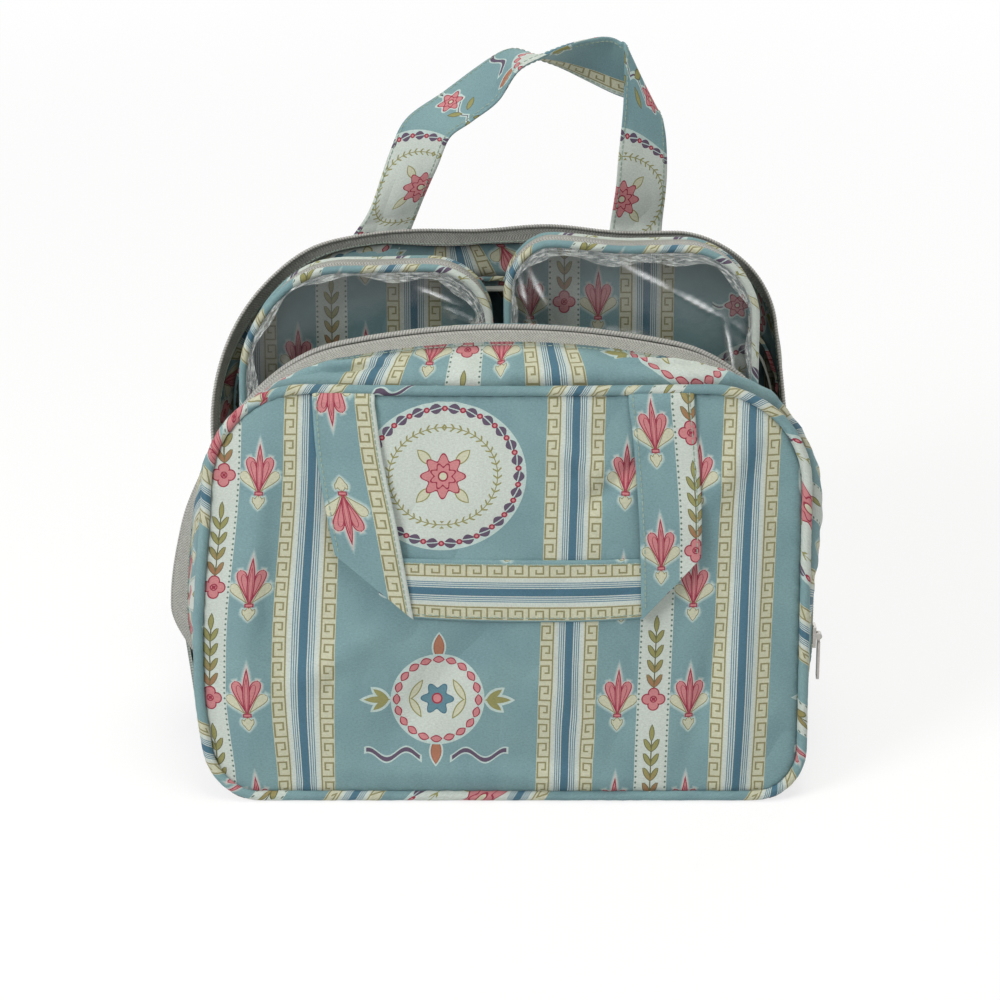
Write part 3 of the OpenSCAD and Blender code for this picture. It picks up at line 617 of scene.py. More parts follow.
def wreath(f, colour, x, y):
    """White oval edged by plum drops and crimson beads, with a ring of laurel and a rosette inside."""
    half_w, half_h, radius, drops, leaves = 37, 33, 35, 26, 44
    wide, high = x * (1 / half_w), y * (1 / half_h)
    r = (wide * wide + high * high).math("SQRT")
    angle = (y * (half_w / half_h)).math("ARCTAN2", x)
    edge = (r - 1) * radius
    step = (angle * (drops / TURN)).wrap(0.5) * (TURN * radius / drops)
    colour = f.mix(r < 1.1, colour, PALE)
    colour = f.mix(r < 0.97, colour, WHITE)
    drop = lens(edge, step, 2.3, 2.9).max(0.6 - abs(edge - step * 0.2))
    colour = outlined(f, colour, drop, PLUM, PLUM)
    bead = blob((angle * (drops / TURN) + 0.5).wrap(0.5) * (TURN * radius / drops), edge, 1.05)
    colour = outlined(f, colour, bead, PINK, CRIMSON, 0.4)
    ring = (r - 0.72) * radius
    turn = (angle * (leaves / TURN)).wrap(0.5) * (TURN * 25 / leaves) - abs(ring) * 0.8
    laurel = (abs(turn + 1) - 0.5).max(abs(ring) - 2)
    colour = f.mix(laurel.min(abs(ring) - 0.25) < 0, colour, LEAF_OLIVE)
    far, round_ = blob(x, y, 0), y.math("ARCTAN2", x)
    diagonal = lens((abs(x) - abs(y)) * 0.7071, (abs(x) + abs(y)) * 0.7071 - 13, 2.2, 5)
    colour = outlined(f, colour, diagonal, CREAM, LEAF_OLIVE)
    wave = (round_ * 8).math("COSINE")
    colour = outlined(f, colour, far - (9.2 + wave * 1.7), PINK, CRIMSON, 0.4)
    colour = f.mix(abs(far - (5.4 - wave * 1.0)) < 0.45, colour, CRIMSON)
    return outlined(f, colour, far - 2.2, CREAM, CRIMSON, 0.4)


def roundel(f, colour, x, y):
    """A smaller white disc in a ring of pink beads, with leaf fans beside it and a ribbon below."""
    ribbon = abs(y + 29 + (x * 0.32).math("SINE") * 2.6) - 1.1
    colour = f.mix((ribbon < 0.8) * (x > 7) * (x < 36), colour, PALE)
    colour = f.mix((ribbon < 0) * (x > 8) * (x < 35), colour, PLUM)
    fan = lens(y, x - 30, 1.7, 6.5)
    fan = fan.min(lens(*turned(x, abs(y), (28, 2.4), 52), 1.6, 5))
    colour = f.mix(fan < 1.3, colour, PALE)
    colour = f.mix(fan < 0, colour, LEAF_OLIVE)
    bud = lens(x, abs(y) - 27, 2.4, 6.5)
    colour = f.mix(bud < 1.2, colour, PALE)
    colour = outlined(f, colour, bud, BUD_BROWN, LEAF_BROWN)
    far, round_ = blob(x, y, 0), y.math("ARCTAN2", x)
    colour = f.mix(far < 23.4, colour, PALE)
    colour = f.mix(far < 21, colour, WHITE)
    bead = lens(far - 20.5, (round_ * (20 / TURN)).wrap(0.5) * (TURN * 20.5 / 20), 1.6, 2.8)
    colour = outlined(f, colour, bead, PINK, CRIMSON)
    sprig = lens(*turned(x, abs(y), (11, 4.5), -32), 1.7, 6)
    colour = outlined(f, colour, sprig, CREAM, LEAF_OLIVE)
    wave = (round_ * 6).math("COSINE")
    colour = outlined(f, colour, far - (6.6 + wave * 1.5), TEAL, STRIPE_BLUE, 0.4)
    return outlined(f, colour, far - 2.4, PINK, CRIMSON, 0.4)


def posy(f, colour, x, y):
    """A pink flower at each side of the middle, on a wavy stem with a leaf."""
    stem = abs(y + (x * 0.3).math("SINE") * 3) - 0.35
    colour = f.mix((stem < 1.1) * (x < 30), colour, PALE)
    colour = f.mix((stem < 0) * (x < 30), colour, PLUM)
    leaf = lens(*turned(x, abs(y), (6.5, 5.0), 40), 1.6, 4.2)
    colour = outlined(f, colour, leaf, LEAF_OLIVE, LEAF_LINE, 0.25)
    side, high = x - 17, y + 2
    far, wave = blob(side, high, 0), (high.math("ARCTAN2", side) * 6).math("COSINE")
    bloom = far - (5.2 + wave * 1.2)
    colour = f.mix(bloom < 1.4, colour, PALE)
    colour = outlined(f, colour, bloom, PINK, CRIMSON, 0.35)
    colour = f.mix(abs(far - (3.1 - wave * 0.5)) < 0.3, colour, CRIMSON)
    return outlined(f, colour, far - 1.3, CREAM, CRIMSON, 0.35)


print("motifs drawn, with a repeat of", REPEAT, "mm")


# %% Printed cloth
def printed_cloth():
    """The print, with a fine weave, uneven dye, soft creases and painted shade by a seam; its inner side is
    darker, partly a dimmer print and partly painted shade.
    """
    f = Finish("printed_cloth", Roughness=0.62, Specular_IOR_Level=0.32)
    place = f.cloth()
    u, v, inside = f.split(place)
    x = u.mirror(REPEAT / 2)
    colour = f.mix(f.noise(place, 0.03), GROUND_LOW, GROUND)
    middle = REPEAT / 2 - x
    colour = posy(f, colour, middle, (v - ROW).wrap(ROW))
    colour = roundel(f, colour, middle, v.wrap(2 * ROW))
    colour = wreath(f, colour, middle, (v - 2 * ROW).wrap(2 * ROW))
    colour = key_band(f, colour, abs(x - BAND_X), v)
    colour = palmette(f, colour, x - 17.7, v.wrap(ROW / 2))
    colour = leaf_column(f, colour, x, v)
    weave = f.weave(u, v, 0.62)
    thread = f.noise(f.scaled(place, (0.5, 3.0, 1)), 1.0, 3.0)
    dye = thread * 0.5 + f.noise(place, 1.1, 3.0) * 0.5 + weave * 0.07
    # Painted shade: the third cloth value darkens the cloth by a seam and on its inner side, where the
    # darkening is partly a dimmer print and partly painted shade.
    shade = (dye * 0.9 + 0.54) * (1.0 - inside * 0.42)
    colour = f.node("ShaderNodeHueSaturation", None, {"Value": shade, "Color": colour})
    crumple = abs(f.noise(f.scaled(place, (1.0, 0.6, 1)), 0.028, 1.5) - 0.5) * 120
    return f.feed(Base_Color=colour, Roughness=dye * 0.2 + 0.5,
                  Normal=f.bump(weave + dye + crumple, 0.00007, 0.8))


print_finish = printed_cloth()
print("printed cloth uses", len(print_finish.node_tree.nodes), "nodes")

# %% [markdown]
# ## The other finishes
# Zip tape is woven in a herringbone, so its colour follows zigzag ribs. The coil is nylon and a little
# glossy. The pouches' fronts are clear vinyl: a film that lets most light through and mirrors the lamps,
# more so where it is seen edge on. The sliders are nickel-plated, and thread and binding are plain cloth.


# %% Tape, coil, vinyl, metal and thread
def zip_tape():
    """Grey tape: fine ribs that slant one way and then the other, four to the width."""
    f = Finish("zip_tape", Roughness=0.8, Specular_IOR_Level=0.25)
    place = f.cloth()
    u, v, _ = f.split(place)
    rib = ((u + abs(v.wrap(2.1)) * 0.9) * (TURN / 1.5)).math("SINE")
    tone = rib * 0.34 + f.noise(place, 0.35, 3.0) * 0.6 + 0.15
    colour = f.mix(tone, ink(118, 119, 114), ink(178, 178, 171))
    return f.feed(Base_Color=colour, Normal=f.bump(rib, 0.00012, 0.7))


def coil_nylon():
    """Grey nylon with painted shade between the turns, and slightly glossy on them."""
    f = Finish("zip_teeth", Roughness=0.42)
    place = f.cloth()
    _, _, turn = f.split(place)
    # Painted shade: the swell of each turn, read as the third cloth value, darkens the colour between turns.
    tone = f.noise(place, 0.3) * 0.3 + turn * 0.75
    return f.feed(Base_Color=f.mix(tone, ink(84, 84, 81), ink(176, 175, 169)), Roughness=0.5 - turn * 0.12)


def clear_vinyl():
    """Clear film: it lets light through but for a thin veil, mirrors more edge on, and is painted with
    highlight lines along its folds.
    """
    f = Finish("clear_vinyl", Metallic=1.0, Base_Color=(0.95, 0.97, 0.97, 1))
    place = f.cloth()
    _, _, fold_highlight = f.split(place)
    edge = f.node("ShaderNodeLayerWeight", None, {"Blend": 0.3}, out=0)
    haze = f.noise(place, 0.03, 3.0)
    broken = (f.noise(place, 0.07, 2.0) * 3 - 1.0).max(0.1).min(1.0)
    # Painted highlight: the fold mask makes the mirror more opaque along each listed fold, so the film shows
    # bright lines there.
    cover = (edge * 0.5 + haze * 0.02 + fold_highlight * broken * 0.6).min(1.0)
    return f.feed(Alpha=cover, Roughness=haze * 0.2 + 0.02, Normal=f.bump(haze, 0.004, 0.5))


def gathered_vinyl():
    """The same film in tight gathers: milky, with painted highlights on the crinkle's ridges and clear
    hollows between them.
    """
    f = Finish("gathered_vinyl", Base_Color=(0.72, 0.76, 0.74, 1), Roughness=0.22, Specular_IOR_Level=0.8)
    place = f.cloth()
    edge = f.node("ShaderNodeLayerWeight", None, {"Blend": 0.35}, out=0)
    crinkle = f.noise(f.scaled(place, (0.25, 1.2, 1)), 0.9, 4.0)
    # Painted highlight: the milky cover grows on the crinkle's ridges, above the thin milky veil of the film
    # itself.
    cover = (edge * 0.3 + (crinkle * 3.0 - 1.35).max(0.0) * 0.8 + 0.06).min(0.8)
    return f.feed(Alpha=cover, Normal=f.bump(crinkle, 0.0012, 0.8))


def slider_metal():
    """Nickel plate: warm grey, with fine brushing and duller spots from handling."""
    f = Finish("slider_metal", Metallic=1.0)
    place = f.node("ShaderNodeTexCoord", out=3)
    spots, brush = f.noise(place, 900, 3.0), f.noise(place, 5000, 2.0)
    colour = f.mix(spots, ink(150, 147, 141), ink(196, 193, 187))
    return f.feed(Base_Color=colour, Roughness=spots * 0.25 + 0.2, Normal=f.bump(brush, 0.00003, 0.5))


def plain_cloth(name, low, high):
    """Plain weave in one colour, with threads a third of a millimetre apart."""
    f = Finish(name, Roughness=0.8, Specular_IOR_Level=0.25)
    place = f.cloth()
    u, v, _ = f.split(place)
    weave = f.weave(u, v, 0.7)
    tone = f.noise(place, 0.4, 3.0) * 0.7 + weave * 0.15 + 0.15
    return f.feed(Base_Color=f.mix(tone, low, high), Normal=f.bump(weave, 0.00008, 0.6))


tape_finish, coil_finish = zip_tape(), coil_nylon()
vinyl_finish, ruffle_finish = clear_vinyl(), gathered_vinyl()
metal_finish = slider_metal()
binding_finish = plain_cloth("binding_tape", ink(138, 142, 136), ink(172, 174, 166))
thread_finish = plain_cloth("sewing_thread", ink(126, 145, 134), ink(158, 174, 160))
METAL_ENDS, METAL_STARTS = ("_slider", "_pull"), ("main_slider", "main_pull")
METAL_NODES = [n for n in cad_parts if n.endswith(METAL_ENDS) or n.startswith(METAL_STARTS)]
for node_name in METAL_NODES:
    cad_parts[node_name].data.materials.clear()
    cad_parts[node_name].data.materials.append(metal_finish)
print("finished", len(METAL_NODES), "metal pieces")

# %% [markdown]
# ## Panels
# The front, the divider and the back are flat cuts sewn into a seam, with a little wadding. Each row of
# the grid is as wide as the outline at that height, so the sheet has no pole and its edge follows the
# rounded corners. Cloth held by a tight seam puckers: short waves run out from the edge and die away
# within a few millimetres. The cut is a little larger than its seam, because the cloth is eased in to
# give the swell and the folds their room.


# %% Panels
# Painted shade by a seam: how dark the cloth is painted at the seam, and how far in millimetres the shade
# reaches.
SEAM_SHADE, SEAM_REACH = 1.2, 3.4


def panel(name, seam, leaf_x, row_s, bulge, node, thickness=PANEL_T, inward=1.0, material=None,
          slot="printed_cloth", ripple=0.45, face=1, columns=150, rows=(16, 8, 54, 40), folds=(), skew=0.0,
          groove=0.0):
    """Rows from the bottom to the top of a seam, each as wide as the outline there, swelled and puckered. A
    fold is a long soft ridge: from and to point, half its width and its height. Skew leans the print's
    columns, and groove sinks the edge beside the piping."""
    (right, s_row), (left, s_left) = [seam.flat(tau, inward, arched=False) for tau in
                                      (stretch([1, 2, 3, 4, 5], rows), stretch([11, 10, 9, 8, 7], rows))]
    left = np.interp(s_row, s_left, left)
    share = np.sin(np.linspace(-1, 1, columns) * np.pi / 2 * 0.86) / sin(np.pi / 2 * 0.86)
    x = ((right + left)[:, None] + (right - left)[:, None] * share) / 2
    lift = seam.arch * (1 - (x / seam.half) ** 2) * smooth(s_row / seam.height, 0.45, 0.97)[:, None]
    s = s_row[:, None] + lift
    upright = 2 * s_row[:, None] / seam.height - 1
    swell = bulge * (1 - (x / seam.half) ** 2) * np.maximum(0, 1 - upright**2)
    sides = np.minimum(right[:, None] - x, x - left[:, None])
    edge = np.minimum(sides, np.minimum(s_row, seam.height - s_row)[:, None])
    waves = np.sin((x + s) * 0.71 + 1.3 * np.sin(x * 0.05)) * np.exp(-np.maximum(edge, 0) / 5)
    drift = np.sin(x / 34 + 1.1) * np.sin(s / 27 + 0.6) + 0.6 * np.sin(x / 17 - s / 23)
    back = swell + ripple * (waves - 1.3 * drift * smooth(edge, 4, 30)) * np.sign(bulge or 1)
    back = back - groove * np.sign(bulge or 1) * np.exp(-(np.maximum(edge, 0) / 2.8) ** 2)
    fold_highlight = 0 * x
    for x0, s0, x1, s1, width, height in folds:
        length = np.hypot(x1 - x0, s1 - s0)
        along = ((x - x0) * (x1 - x0) + (s - s0) * (s1 - s0)) / length
        across = ((x - x0) * (s1 - s0) - (s - s0) * (x1 - x0)) / length
        ends = smooth(along, -0.35 * length, 0.3 * length)
        ends = ends * (1 - smooth(along, 0.7 * length, 1.35 * length))
        ridge = np.exp(-(across / width) ** 2) * ends * smooth(edge, 0, 8)
        back, fold_highlight = back - height * ridge, np.maximum(fold_highlight, ridge)
    # Painted shade beside the seam, dying away within a few millimetres of the edge.
    dark = SEAM_SHADE * np.exp(-(np.maximum(edge, 0) / SEAM_REACH) ** 2)
    fold_highlight, dark = [np.concatenate([m, m[:, ::-1], m[:, :1]], axis=1) for m in (fold_highlight, dark)]
    points = seam.place(x, s, back)
    u = (x - leaf_x - skew * (s / seam.height - 0.3)) * face
    rings, places = sheet_rings(points, flat_place(u, s - row_s), thickness)
    # On the vinyl the third cloth value is the fold mask, painted as highlight lines; on cloth it is the
    # inner side plus the painted seam shade.
    if material is vinyl_finish:
        places[..., 2] = fold_highlight
    else:
        places[..., 2] = dark + (1 - places[..., 2] if face > 0 else places[..., 2])
    return skin(name, rings, places, material or print_finish, slot, [node])


FRONT_FOLDS = ((-128, 30, -120, 175, 8, 3.2), (-104, 18, -112, 120, 7, -2.6), (-70, 14, 60, 8, 6, 2.6),
               (-60, 30, -20, 78, 11, -3.2), (18, 60, 52, 12, 8, 3.0), (40, 150, 66, 172, 5, -3.4),
               (22, 180, 58, 158, 6, 3.0), (112, 20, 124, 150, 7, 3.2), (92, 24, 104, 84, 6, -3.0),
               (-30, 120, 44, 104, 9, 1.6), (96, 150, 122, 182, 7, 2.8), (-100, 60, -66, 84, 7, 2.8))
front_cloth = panel("front_panel_cloth", front_seam, 73, 51, -FRONT_BULGE, "front_panel", folds=FRONT_FOLDS,
                    skew=6, groove=2.4, ripple=0.65)
divider_cloth = panel("divider_cloth", divider_seam, 34, 40, 0, "divider_panel", ripple=0.3, columns=90,
                      rows=(8, 5, 34, 28))
back_cloth = panel("back_panel_cloth", back_seam, -20, 46, BACK_BULGE, "back_panel", face=-1, groove=1.5)
panel_ease = ((front_cloth, front_seam, 1.036), (divider_cloth, divider_seam, 1.0),
              (back_cloth, back_seam, 1.012))
for cloth_piece, seam, ease in panel_ease:
    cut = (ease * 2 * seam.half * MM, ease * (seam.height + max(seam.arch, 0)) * MM)
    0.95 * cut[0] * cut[1]
    print(cloth_piece.name, "cut:", [round(c, 3) for c in cut])

# %% [markdown]
# ## Piping
# Each panel's edge is finished with a cord wrapped in a strip of the same cloth. The strip is cut on the
# slant and twists a little as it is sewn, which shows as faint slanted ridges. A round profile carried
# along the seam does it; the cloth coordinates run along the cord, so the print changes colour along it
# as on the real one.


# %% Piping
def piping(name, seam, radius, shift, node, around=14):
    """A circle carried along a closed seam; its radius wavers along a slanted line."""
    line = seam.path(RING)
    along = np.gradient(line, axis=0)
    along[0] = along[-1] = line[1] - line[-2]
    square = np.array([0, cos(seam.lean), -sin(seam.lean)])
    outward = unit(np.cross(square, along))
    walk = run_length(line)[:, None]
    turn = np.linspace(0, TURN, around + 1)
    waver = radius * (1 + 0.025 * np.sin(walk * 0.9 + turn) + 0.02 * np.sin(walk * 0.23 - 2 * turn))
    rings = line[:, None] + waver[..., None] * (np.cos(turn)[:, None] * outward[:, None]
                                                + np.sin(turn)[:, None] * square)
    rings[-1] = rings[0]
    places = flat_place(walk + radius * turn * 0.6 + shift, walk * 0.35 + radius * turn)
    return skin(name, rings, places, print_finish, "piping_cloth", [node], closed=True)


piping("front_piping_cloth", front_seam, PIPING_R, 30, "front_piping")
piping("divider_piping_cloth", divider_seam, PIPING_R, 95, "divider_piping")
piping("back_piping_cloth", back_seam, PIPING_R, 140, "back_piping")
print("three pipings sewn")

# %% [markdown]
# ## Gussets and base
# A gusset is one long strip that turns the outline into depth. It is lofted between two seams: straight
# across at first, then puffed out in the middle, because cloth that is eased round a corner never stays
# flat. Its long edges are turned in where they meet a zip. The cloth coordinates are the distance along
# the seam and across the strip.


# %% Strips between seams
def strip(name, front, rear, leaf_x, row_s, puff, thickness, node, material=None, slot="printed_cloth",
          across=14, ripple=0.0, turned_edge=0.0, tucks=()):
    """Points between two lines, bowed outwards by puff a third across, with eased-in waves along its length.
    A tuck is a short fold along the strip: its place along and across, half its length and width, and its
    depth."""
    c = np.linspace(0, 1, across)
    points = front[:, None] * (1 - c)[:, None] + rear[:, None] * c[:, None]
    walk = run_length((front + rear) / 2)
    walk = (walk - walk[-1] / 2)[:, None]
    wide = np.linalg.norm(rear - front, axis=-1)[:, None]
    bow = 6.75 * c * (1 - c) ** 2 * np.asarray(puff).reshape(-1, 1)
    waves = np.sin(walk * 0.42 + 2 * c) * np.sin(walk * 0.13 + 0.7) * 4 * c * (1 - c)
    lip = turned_edge * np.exp(-((1 - c) * wide / 2.2) ** 2)
    for at, share, half_length, half_width, depth in tucks:
        way = (c - share) * wide / half_width
        bow = bow - depth * way * np.exp(-way**2 - ((walk - at) / half_length) ** 2)
    points = points + normals(points) * (bow + ripple * waves + lip)[..., None]
    cloth = flat_place(walk - leaf_x, c * wide - row_s)
    # Painted shade beside both long edges, where the strip is sewn.
    cloth[..., 2] = SEAM_SHADE * np.exp(-(np.minimum(c, 1 - c) * wide / SEAM_REACH) ** 2)
    rings, places = sheet_rings(points, cloth, thickness)
    return skin(name, rings, places, material or print_finish, slot, [node])


SEWN_DROP, SEAM_LAP, TAPE_SHOWS = 2.6, 1.6, 6.4
LEFT_PUFF, RIGHT_PUFF = 2.2, 5.5
from_end = np.minimum(OVER - 3, 9 - OVER)
top_share, crown = smooth(from_end, 0.6, 2.0), smooth(from_end, 1.2, 2.2)
front_edge = front_seam.path(OVER, -0.4, SEAM_LAP)
sewn_slope = ZIP_SLOPE + SEWN_DROP * crown
zip_near = sewn_seam.path(OVER, sewn_slope - 0.3, -TAPE_END + 0.9)
side_puff = np.where(OVER > 6, LEFT_PUFF, RIGHT_PUFF) * smooth(zip_near[:, 2], 60, 120)
GUSSET_TUCKS = ((78, 0.66, 20, 2.6, 8.0), (-82, 0.6, 21, 3.2, -6.5), (20, 0.4, 26, 5.0, 1.6),
                (-30, 0.72, 24, 4.0, 1.8), (128, 0.45, 12, 4.0, 3.2), (-136, 0.5, 14, 4.0, -3.0))
strip("front_gusset_cloth", front_edge, zip_near, -20, 22, np.maximum(2.4 * top_share, side_puff), GUSSET_T,
      "front_gusset", ripple=0.6, turned_edge=0.35, across=34, tucks=GUSSET_TUCKS)


def grounded(line):
    """The line with the straight bottom of its seam pulled down to the ground."""
    low = smooth(abs(UNDER - 12), 1.6, 0.9)
    return np.stack([line[:, 0], line[:, 1], np.maximum(line[:, 2] * (1 - low), GUSSET_T / 2)], axis=-1)


BASE_INWARD = -PIPING_R + 0.8
for name, near, rear in (("front_base", front_seam, divider_seam), ("back_base", divider_seam, back_seam)):
    near_line = grounded(near.path(UNDER, BASE_INWARD, SEAM_LAP))
    rear_line = grounded(rear.path(UNDER, BASE_INWARD, -SEAM_LAP))
    strip(f"{name}_cloth", near_line, rear_line, 30, 20, 0, GUSSET_T, name)

open_edge = open_seam.path(OVER, -TAPE_T / 2, TOOTH_W / 2 + TAPE_T + SEAM_GAP / 2)
back_edge = back_seam.path(OVER, -0.6, -SEAM_LAP)
toward_back = unit(back_edge - open_edge)
tape_seam = open_edge + toward_back * TAPE_SHOWS
strip("back_gusset_cloth", tape_seam, back_edge, 17.5, 12, 0.8 + 1.2 * top_share, GUSSET_T, "back_gusset",
      ripple=0.4)
binding_lines = [back_seam.path(OVER, 4.9, back) for back in (-12.3, -1.3)]
strip("back_seam_binding_tape", *binding_lines, 0, 0, 0, TAPE_T, "back_seam_binding", binding_finish,
      "zip_tape", ripple=0.5)
print("gussets, bases and binding sewn")

# %% [markdown]
# ## Zips
# A coil zip is two woven tapes, each with a nylon coil sewn along its edge. At this scale the coil reads
# as a row of slanted ridges, one and a half millimetres apart. Each row is an oval profile carried along
# the seam in short steps; a sine along the way swells it at every turn of the coil, and shifts with the
# place across, so the ridges slant.

# %% Tapes and coils
PITCH, WIDE_ROW, TAPE_TUCK = 1.5, 1.5, 0.6
TILT = radians(44)


def tape(name, near, far, node):
    """A plain strip of tape between two lines."""
    return strip(name, near, far, 0, 0, 0, TAPE_T, node, tape_finish, "zip_tape", across=7)


def coil(name, seam, back, node, slant=1.0, tilt=0.0, half=TOOTH_W / 2):
    """An oval carried along a seam; turns of the coil swell it by a third. Along the top the chain is tilted
    about its middle, as a zip that faces forward is."""
    line = seam.path(OVER, -back * np.sin(tilt * crown), back * np.cos(tilt * crown))
    walk = run_length(line)
    even = np.arange(0, walk[-1], PITCH / 5)
    angle = np.interp(even, walk, tilt * crown)[:, None]
    line = np.stack([np.interp(even, walk, line[:, i]) for i in range(3)], axis=-1)
    square = np.array([0, cos(seam.lean), -sin(seam.lean)])
    outward = unit(np.cross(np.gradient(line, axis=0), square))
    square, outward = (np.cos(angle) * square + np.sin(angle) * outward,
                       np.cos(angle) * outward - np.sin(angle) * square)
    turn = np.linspace(0, TURN, 11)
    across = np.cos(turn) * half
    ridge = 0.5 + 0.5 * np.sin(even[:, None] * TURN / PITCH + slant * across * 1.6)
    height = TOOTH_H / 2 * (0.72 + 0.28 * ridge) * np.sin(turn)
    rings = line[:, None] + across[:, None] * square[:, None] + height[..., None] * outward[:, None]
    # The third cloth value is the swell of the turns, which the nylon finish paints as shade between them.
    places = np.stack(np.broadcast_arrays(across, even[:, None], ridge), axis=-1)
    return skin(name, rings, places, coil_finish, "zip_teeth", [node])


row_edge = (ROW_SIDE - TAPE_TUCK) * np.sin(TILT * crown)
tape("front_zip_near_tape_weave", sewn_seam.path(OVER, sewn_slope, -TAPE_END),
     zip_seam.path(OVER, row_edge, -ROW_SIDE + TAPE_TUCK), "front_zip_near_tape")
tape("front_zip_far_tape_weave", zip_seam.path(OVER, -row_edge, ROW_SIDE - TAPE_TUCK),
     zip_seam.path(OVER, FAR_SLOPE, TAPE_END), "front_zip_far_tape")
coil("front_zip_near_coil", zip_seam, -ROW_OFF, "front_zip_near_teeth", tilt=TILT, half=WIDE_ROW)
coil("front_zip_far_coil", zip_seam, ROW_OFF, "front_zip_far_teeth", slant=-1.0, tilt=TILT, half=WIDE_ROW)
tape("main_zip_front_tape_weave", divider_seam.path(OVER, 0.5, PIPING_R - TAPE_TUCK),
     fold_seam.path(OVER, 0, -TOOTH_W / 2 + TAPE_TUCK), "main_zip_front_tape")
coil("main_zip_front_coil", fold_seam, 0, "main_zip_front_teeth")
coil("main_zip_back_coil", open_seam, 0, "main_zip_back_teeth", slant=-1.0)
tape("main_zip_back_tape_weave", open_seam.path(OVER, 0, TOOTH_W / 2 - TAPE_TUCK),
     open_edge + toward_back * TAPE_W, "main_zip_back_tape")
print("front and main zips sewn")

# %% [markdown]
# ## Stitches
# A machine stitch is a short stretch of thread with rounded ends that sinks into the cloth at each end. A
# row of them is one small capsule, copied along a line with whole arrays: the capsule's rings are bent
# into place by the line's own direction and the cloth's normal.


# %% Rows of stitches
def stitches(name, line, normal, pitch=3.0, radius=0.32):
    """Capsules along a line of points; each spans three quarters of the pitch and lies on the cloth."""
    walk = run_length(line)
    at = np.arange(pitch, walk[-1] - pitch, pitch)
    share = np.array([-1, -0.92, -0.6, 0, 0.6, 0.92, 1])
    size = np.array([0.25, 0.7, 1, 1, 1, 0.7, 0.25])
    where = at[:, None] + share * pitch * 0.37
    spot = np.stack([np.interp(where, walk, line[:, i]) for i in range(3)], axis=-1)
    up = unit(np.stack([np.interp(where, walk, normal[:, i]) for i in range(3)], axis=-1))
    side = unit(np.cross(np.gradient(spot, axis=1), up))
    spot = spot - up * (0.35 * radius * share**2)[:, None]
    turn = np.linspace(0, TURN, 6, endpoint=False)
    ring = np.cos(turn)[:, None] * side[:, :, None] + np.sin(turn)[:, None] * up[:, :, None]
    points = slouch((spot[:, :, None] + ring * (radius * size)[:, None, None]).reshape(-1, 3))
    i, k = np.meshgrid(np.arange(6), np.arange(6), indexing="ij")
    ahead = (k + 1) % 6
    quad = np.stack([i * 6 + k, (i + 1) * 6 + k, (i + 1) * 6 + ahead, i * 6 + ahead], axis=-1)
    ends = np.array([[0, 1, 2, 3], [0, 3, 4, 5], [39, 38, 37, 36], [41, 40, 39, 36]])
    capsule = np.concatenate([quad.reshape(-1, 4), ends])
    faces = (capsule[None] + (np.arange(len(at)) * 42)[:, None, None]).reshape(-1, 4)
    place = np.stack([points[:, 0], points[:, 2], 0 * points[:, 0]], axis=-1)[faces]
    return build(name, points, faces, place, thread_finish, ())


def sheet_stitches(name, near, far, share, lift, face=1, **options):
    """A row of stitches a share of the way across a strip, lifted off its middle."""
    c = np.array([share - 0.02, share, share + 0.02])[:, None]
    points = near[:, None] * (1 - c) + far[:, None] * c
    normal = normals(points)[:, 1] * face
    return stitches(name, points[:, 1] + normal * lift, normal, **options)


print("stitch helper ready")

# %% [markdown]
# ## Straps
# Both straps are the same cloth folded to a flat band, with a row of stitches along each edge. The front
# one lies on the panel: each leg comes down, folds back under itself on the slant, and the middle runs
# between the folds. So it is three flat stretches on the panel's swell. The back one stands up, twists on
# the left and folds on the right; its two edges are lines through listed rows, smoothed into curves, and
# the band is drawn between them.


# %% Front strap
def on_front(x, s, height):
    """Point so high above the front panel, whose swell falls off with the square of the way to each edge."""
    across, up = np.maximum(0, 1 - (x / front_seam.half) ** 2), np.maximum(0, 1 - (2 * s / FRONT_H - 1) ** 2)
    return front_seam.place(x, s, -PANEL_T / 2 - height - FRONT_BULGE * across * up)


def curve(rows, count):
    """A smooth line through given rows: Catmull-Rom pieces, evenly sampled."""
    p = np.asarray(rows, float)
    p = np.concatenate([2 * p[:1] - p[1:2], p, 2 * p[-1:] - p[-2:-1]])
    t = np.linspace(0, len(p) - 3 - 1e-9, count)
    i = t.astype(int)
    t = (t - i)[:, None]
    a, b, c, d = p[i], p[i + 1], p[i + 2], p[i + 3]
    return (2 * b + (c - a) * t + (2 * a - 5 * b + 4 * c - d) * t**2 + (3 * b - a - 3 * c + d) * t**3) / 2


def edge_round(c, width, thickness):
    """Thickness across a band whose edges are rolled over: a circle's height within half the thickness."""
    near = np.clip(np.minimum(c, 1 - c) * width / (thickness * 0.9), 0, 1)
    return thickness * np.maximum(np.sqrt(1 - (1 - near) ** 2), 0.08)


ROLLED_EDGE = np.array([0, 0.008, 0.025, 0.05])
BAND_ACROSS = np.concatenate([ROLLED_EDGE, np.linspace(0.09, 0.91, 13), 1 - ROLLED_EDGE[::-1]])
STRAP_ROWS = (("a", 0.07), ("b", 0.93))
STITCH_LIFT = STRAP_T / 2 + 0.1


def between(first, second):
    """Points across a band, from one edge line to the other."""
    c = BAND_ACROSS[None, :, None]
    return first[:, None] * (1 - c) + second[:, None] * c


def band(first, second, u_first, u_second, v_from=0.0, along=None):
    """A flat band between two edge lines; the print runs along it, from u_first to u_second across it."""
    points, thickness = between(first, second), edge_round(BAND_ACROSS, STRAP_W, STRAP_T)
    walk = run_length((first + second) / 2)[:, None] if along is None else along
    u = u_first * (1 - BAND_ACROSS) + u_second * BAND_ACROSS
    rings, places = sheet_rings(points, flat_place(u, walk + v_from), thickness)
    places[..., 2] = 0
    return rings, places


def on_panel(*shares, count=60):
    """A smooth line through points given as shares of the front panel's width and height."""
    return curve(shares, count) * (BAG_W, FRONT_H)


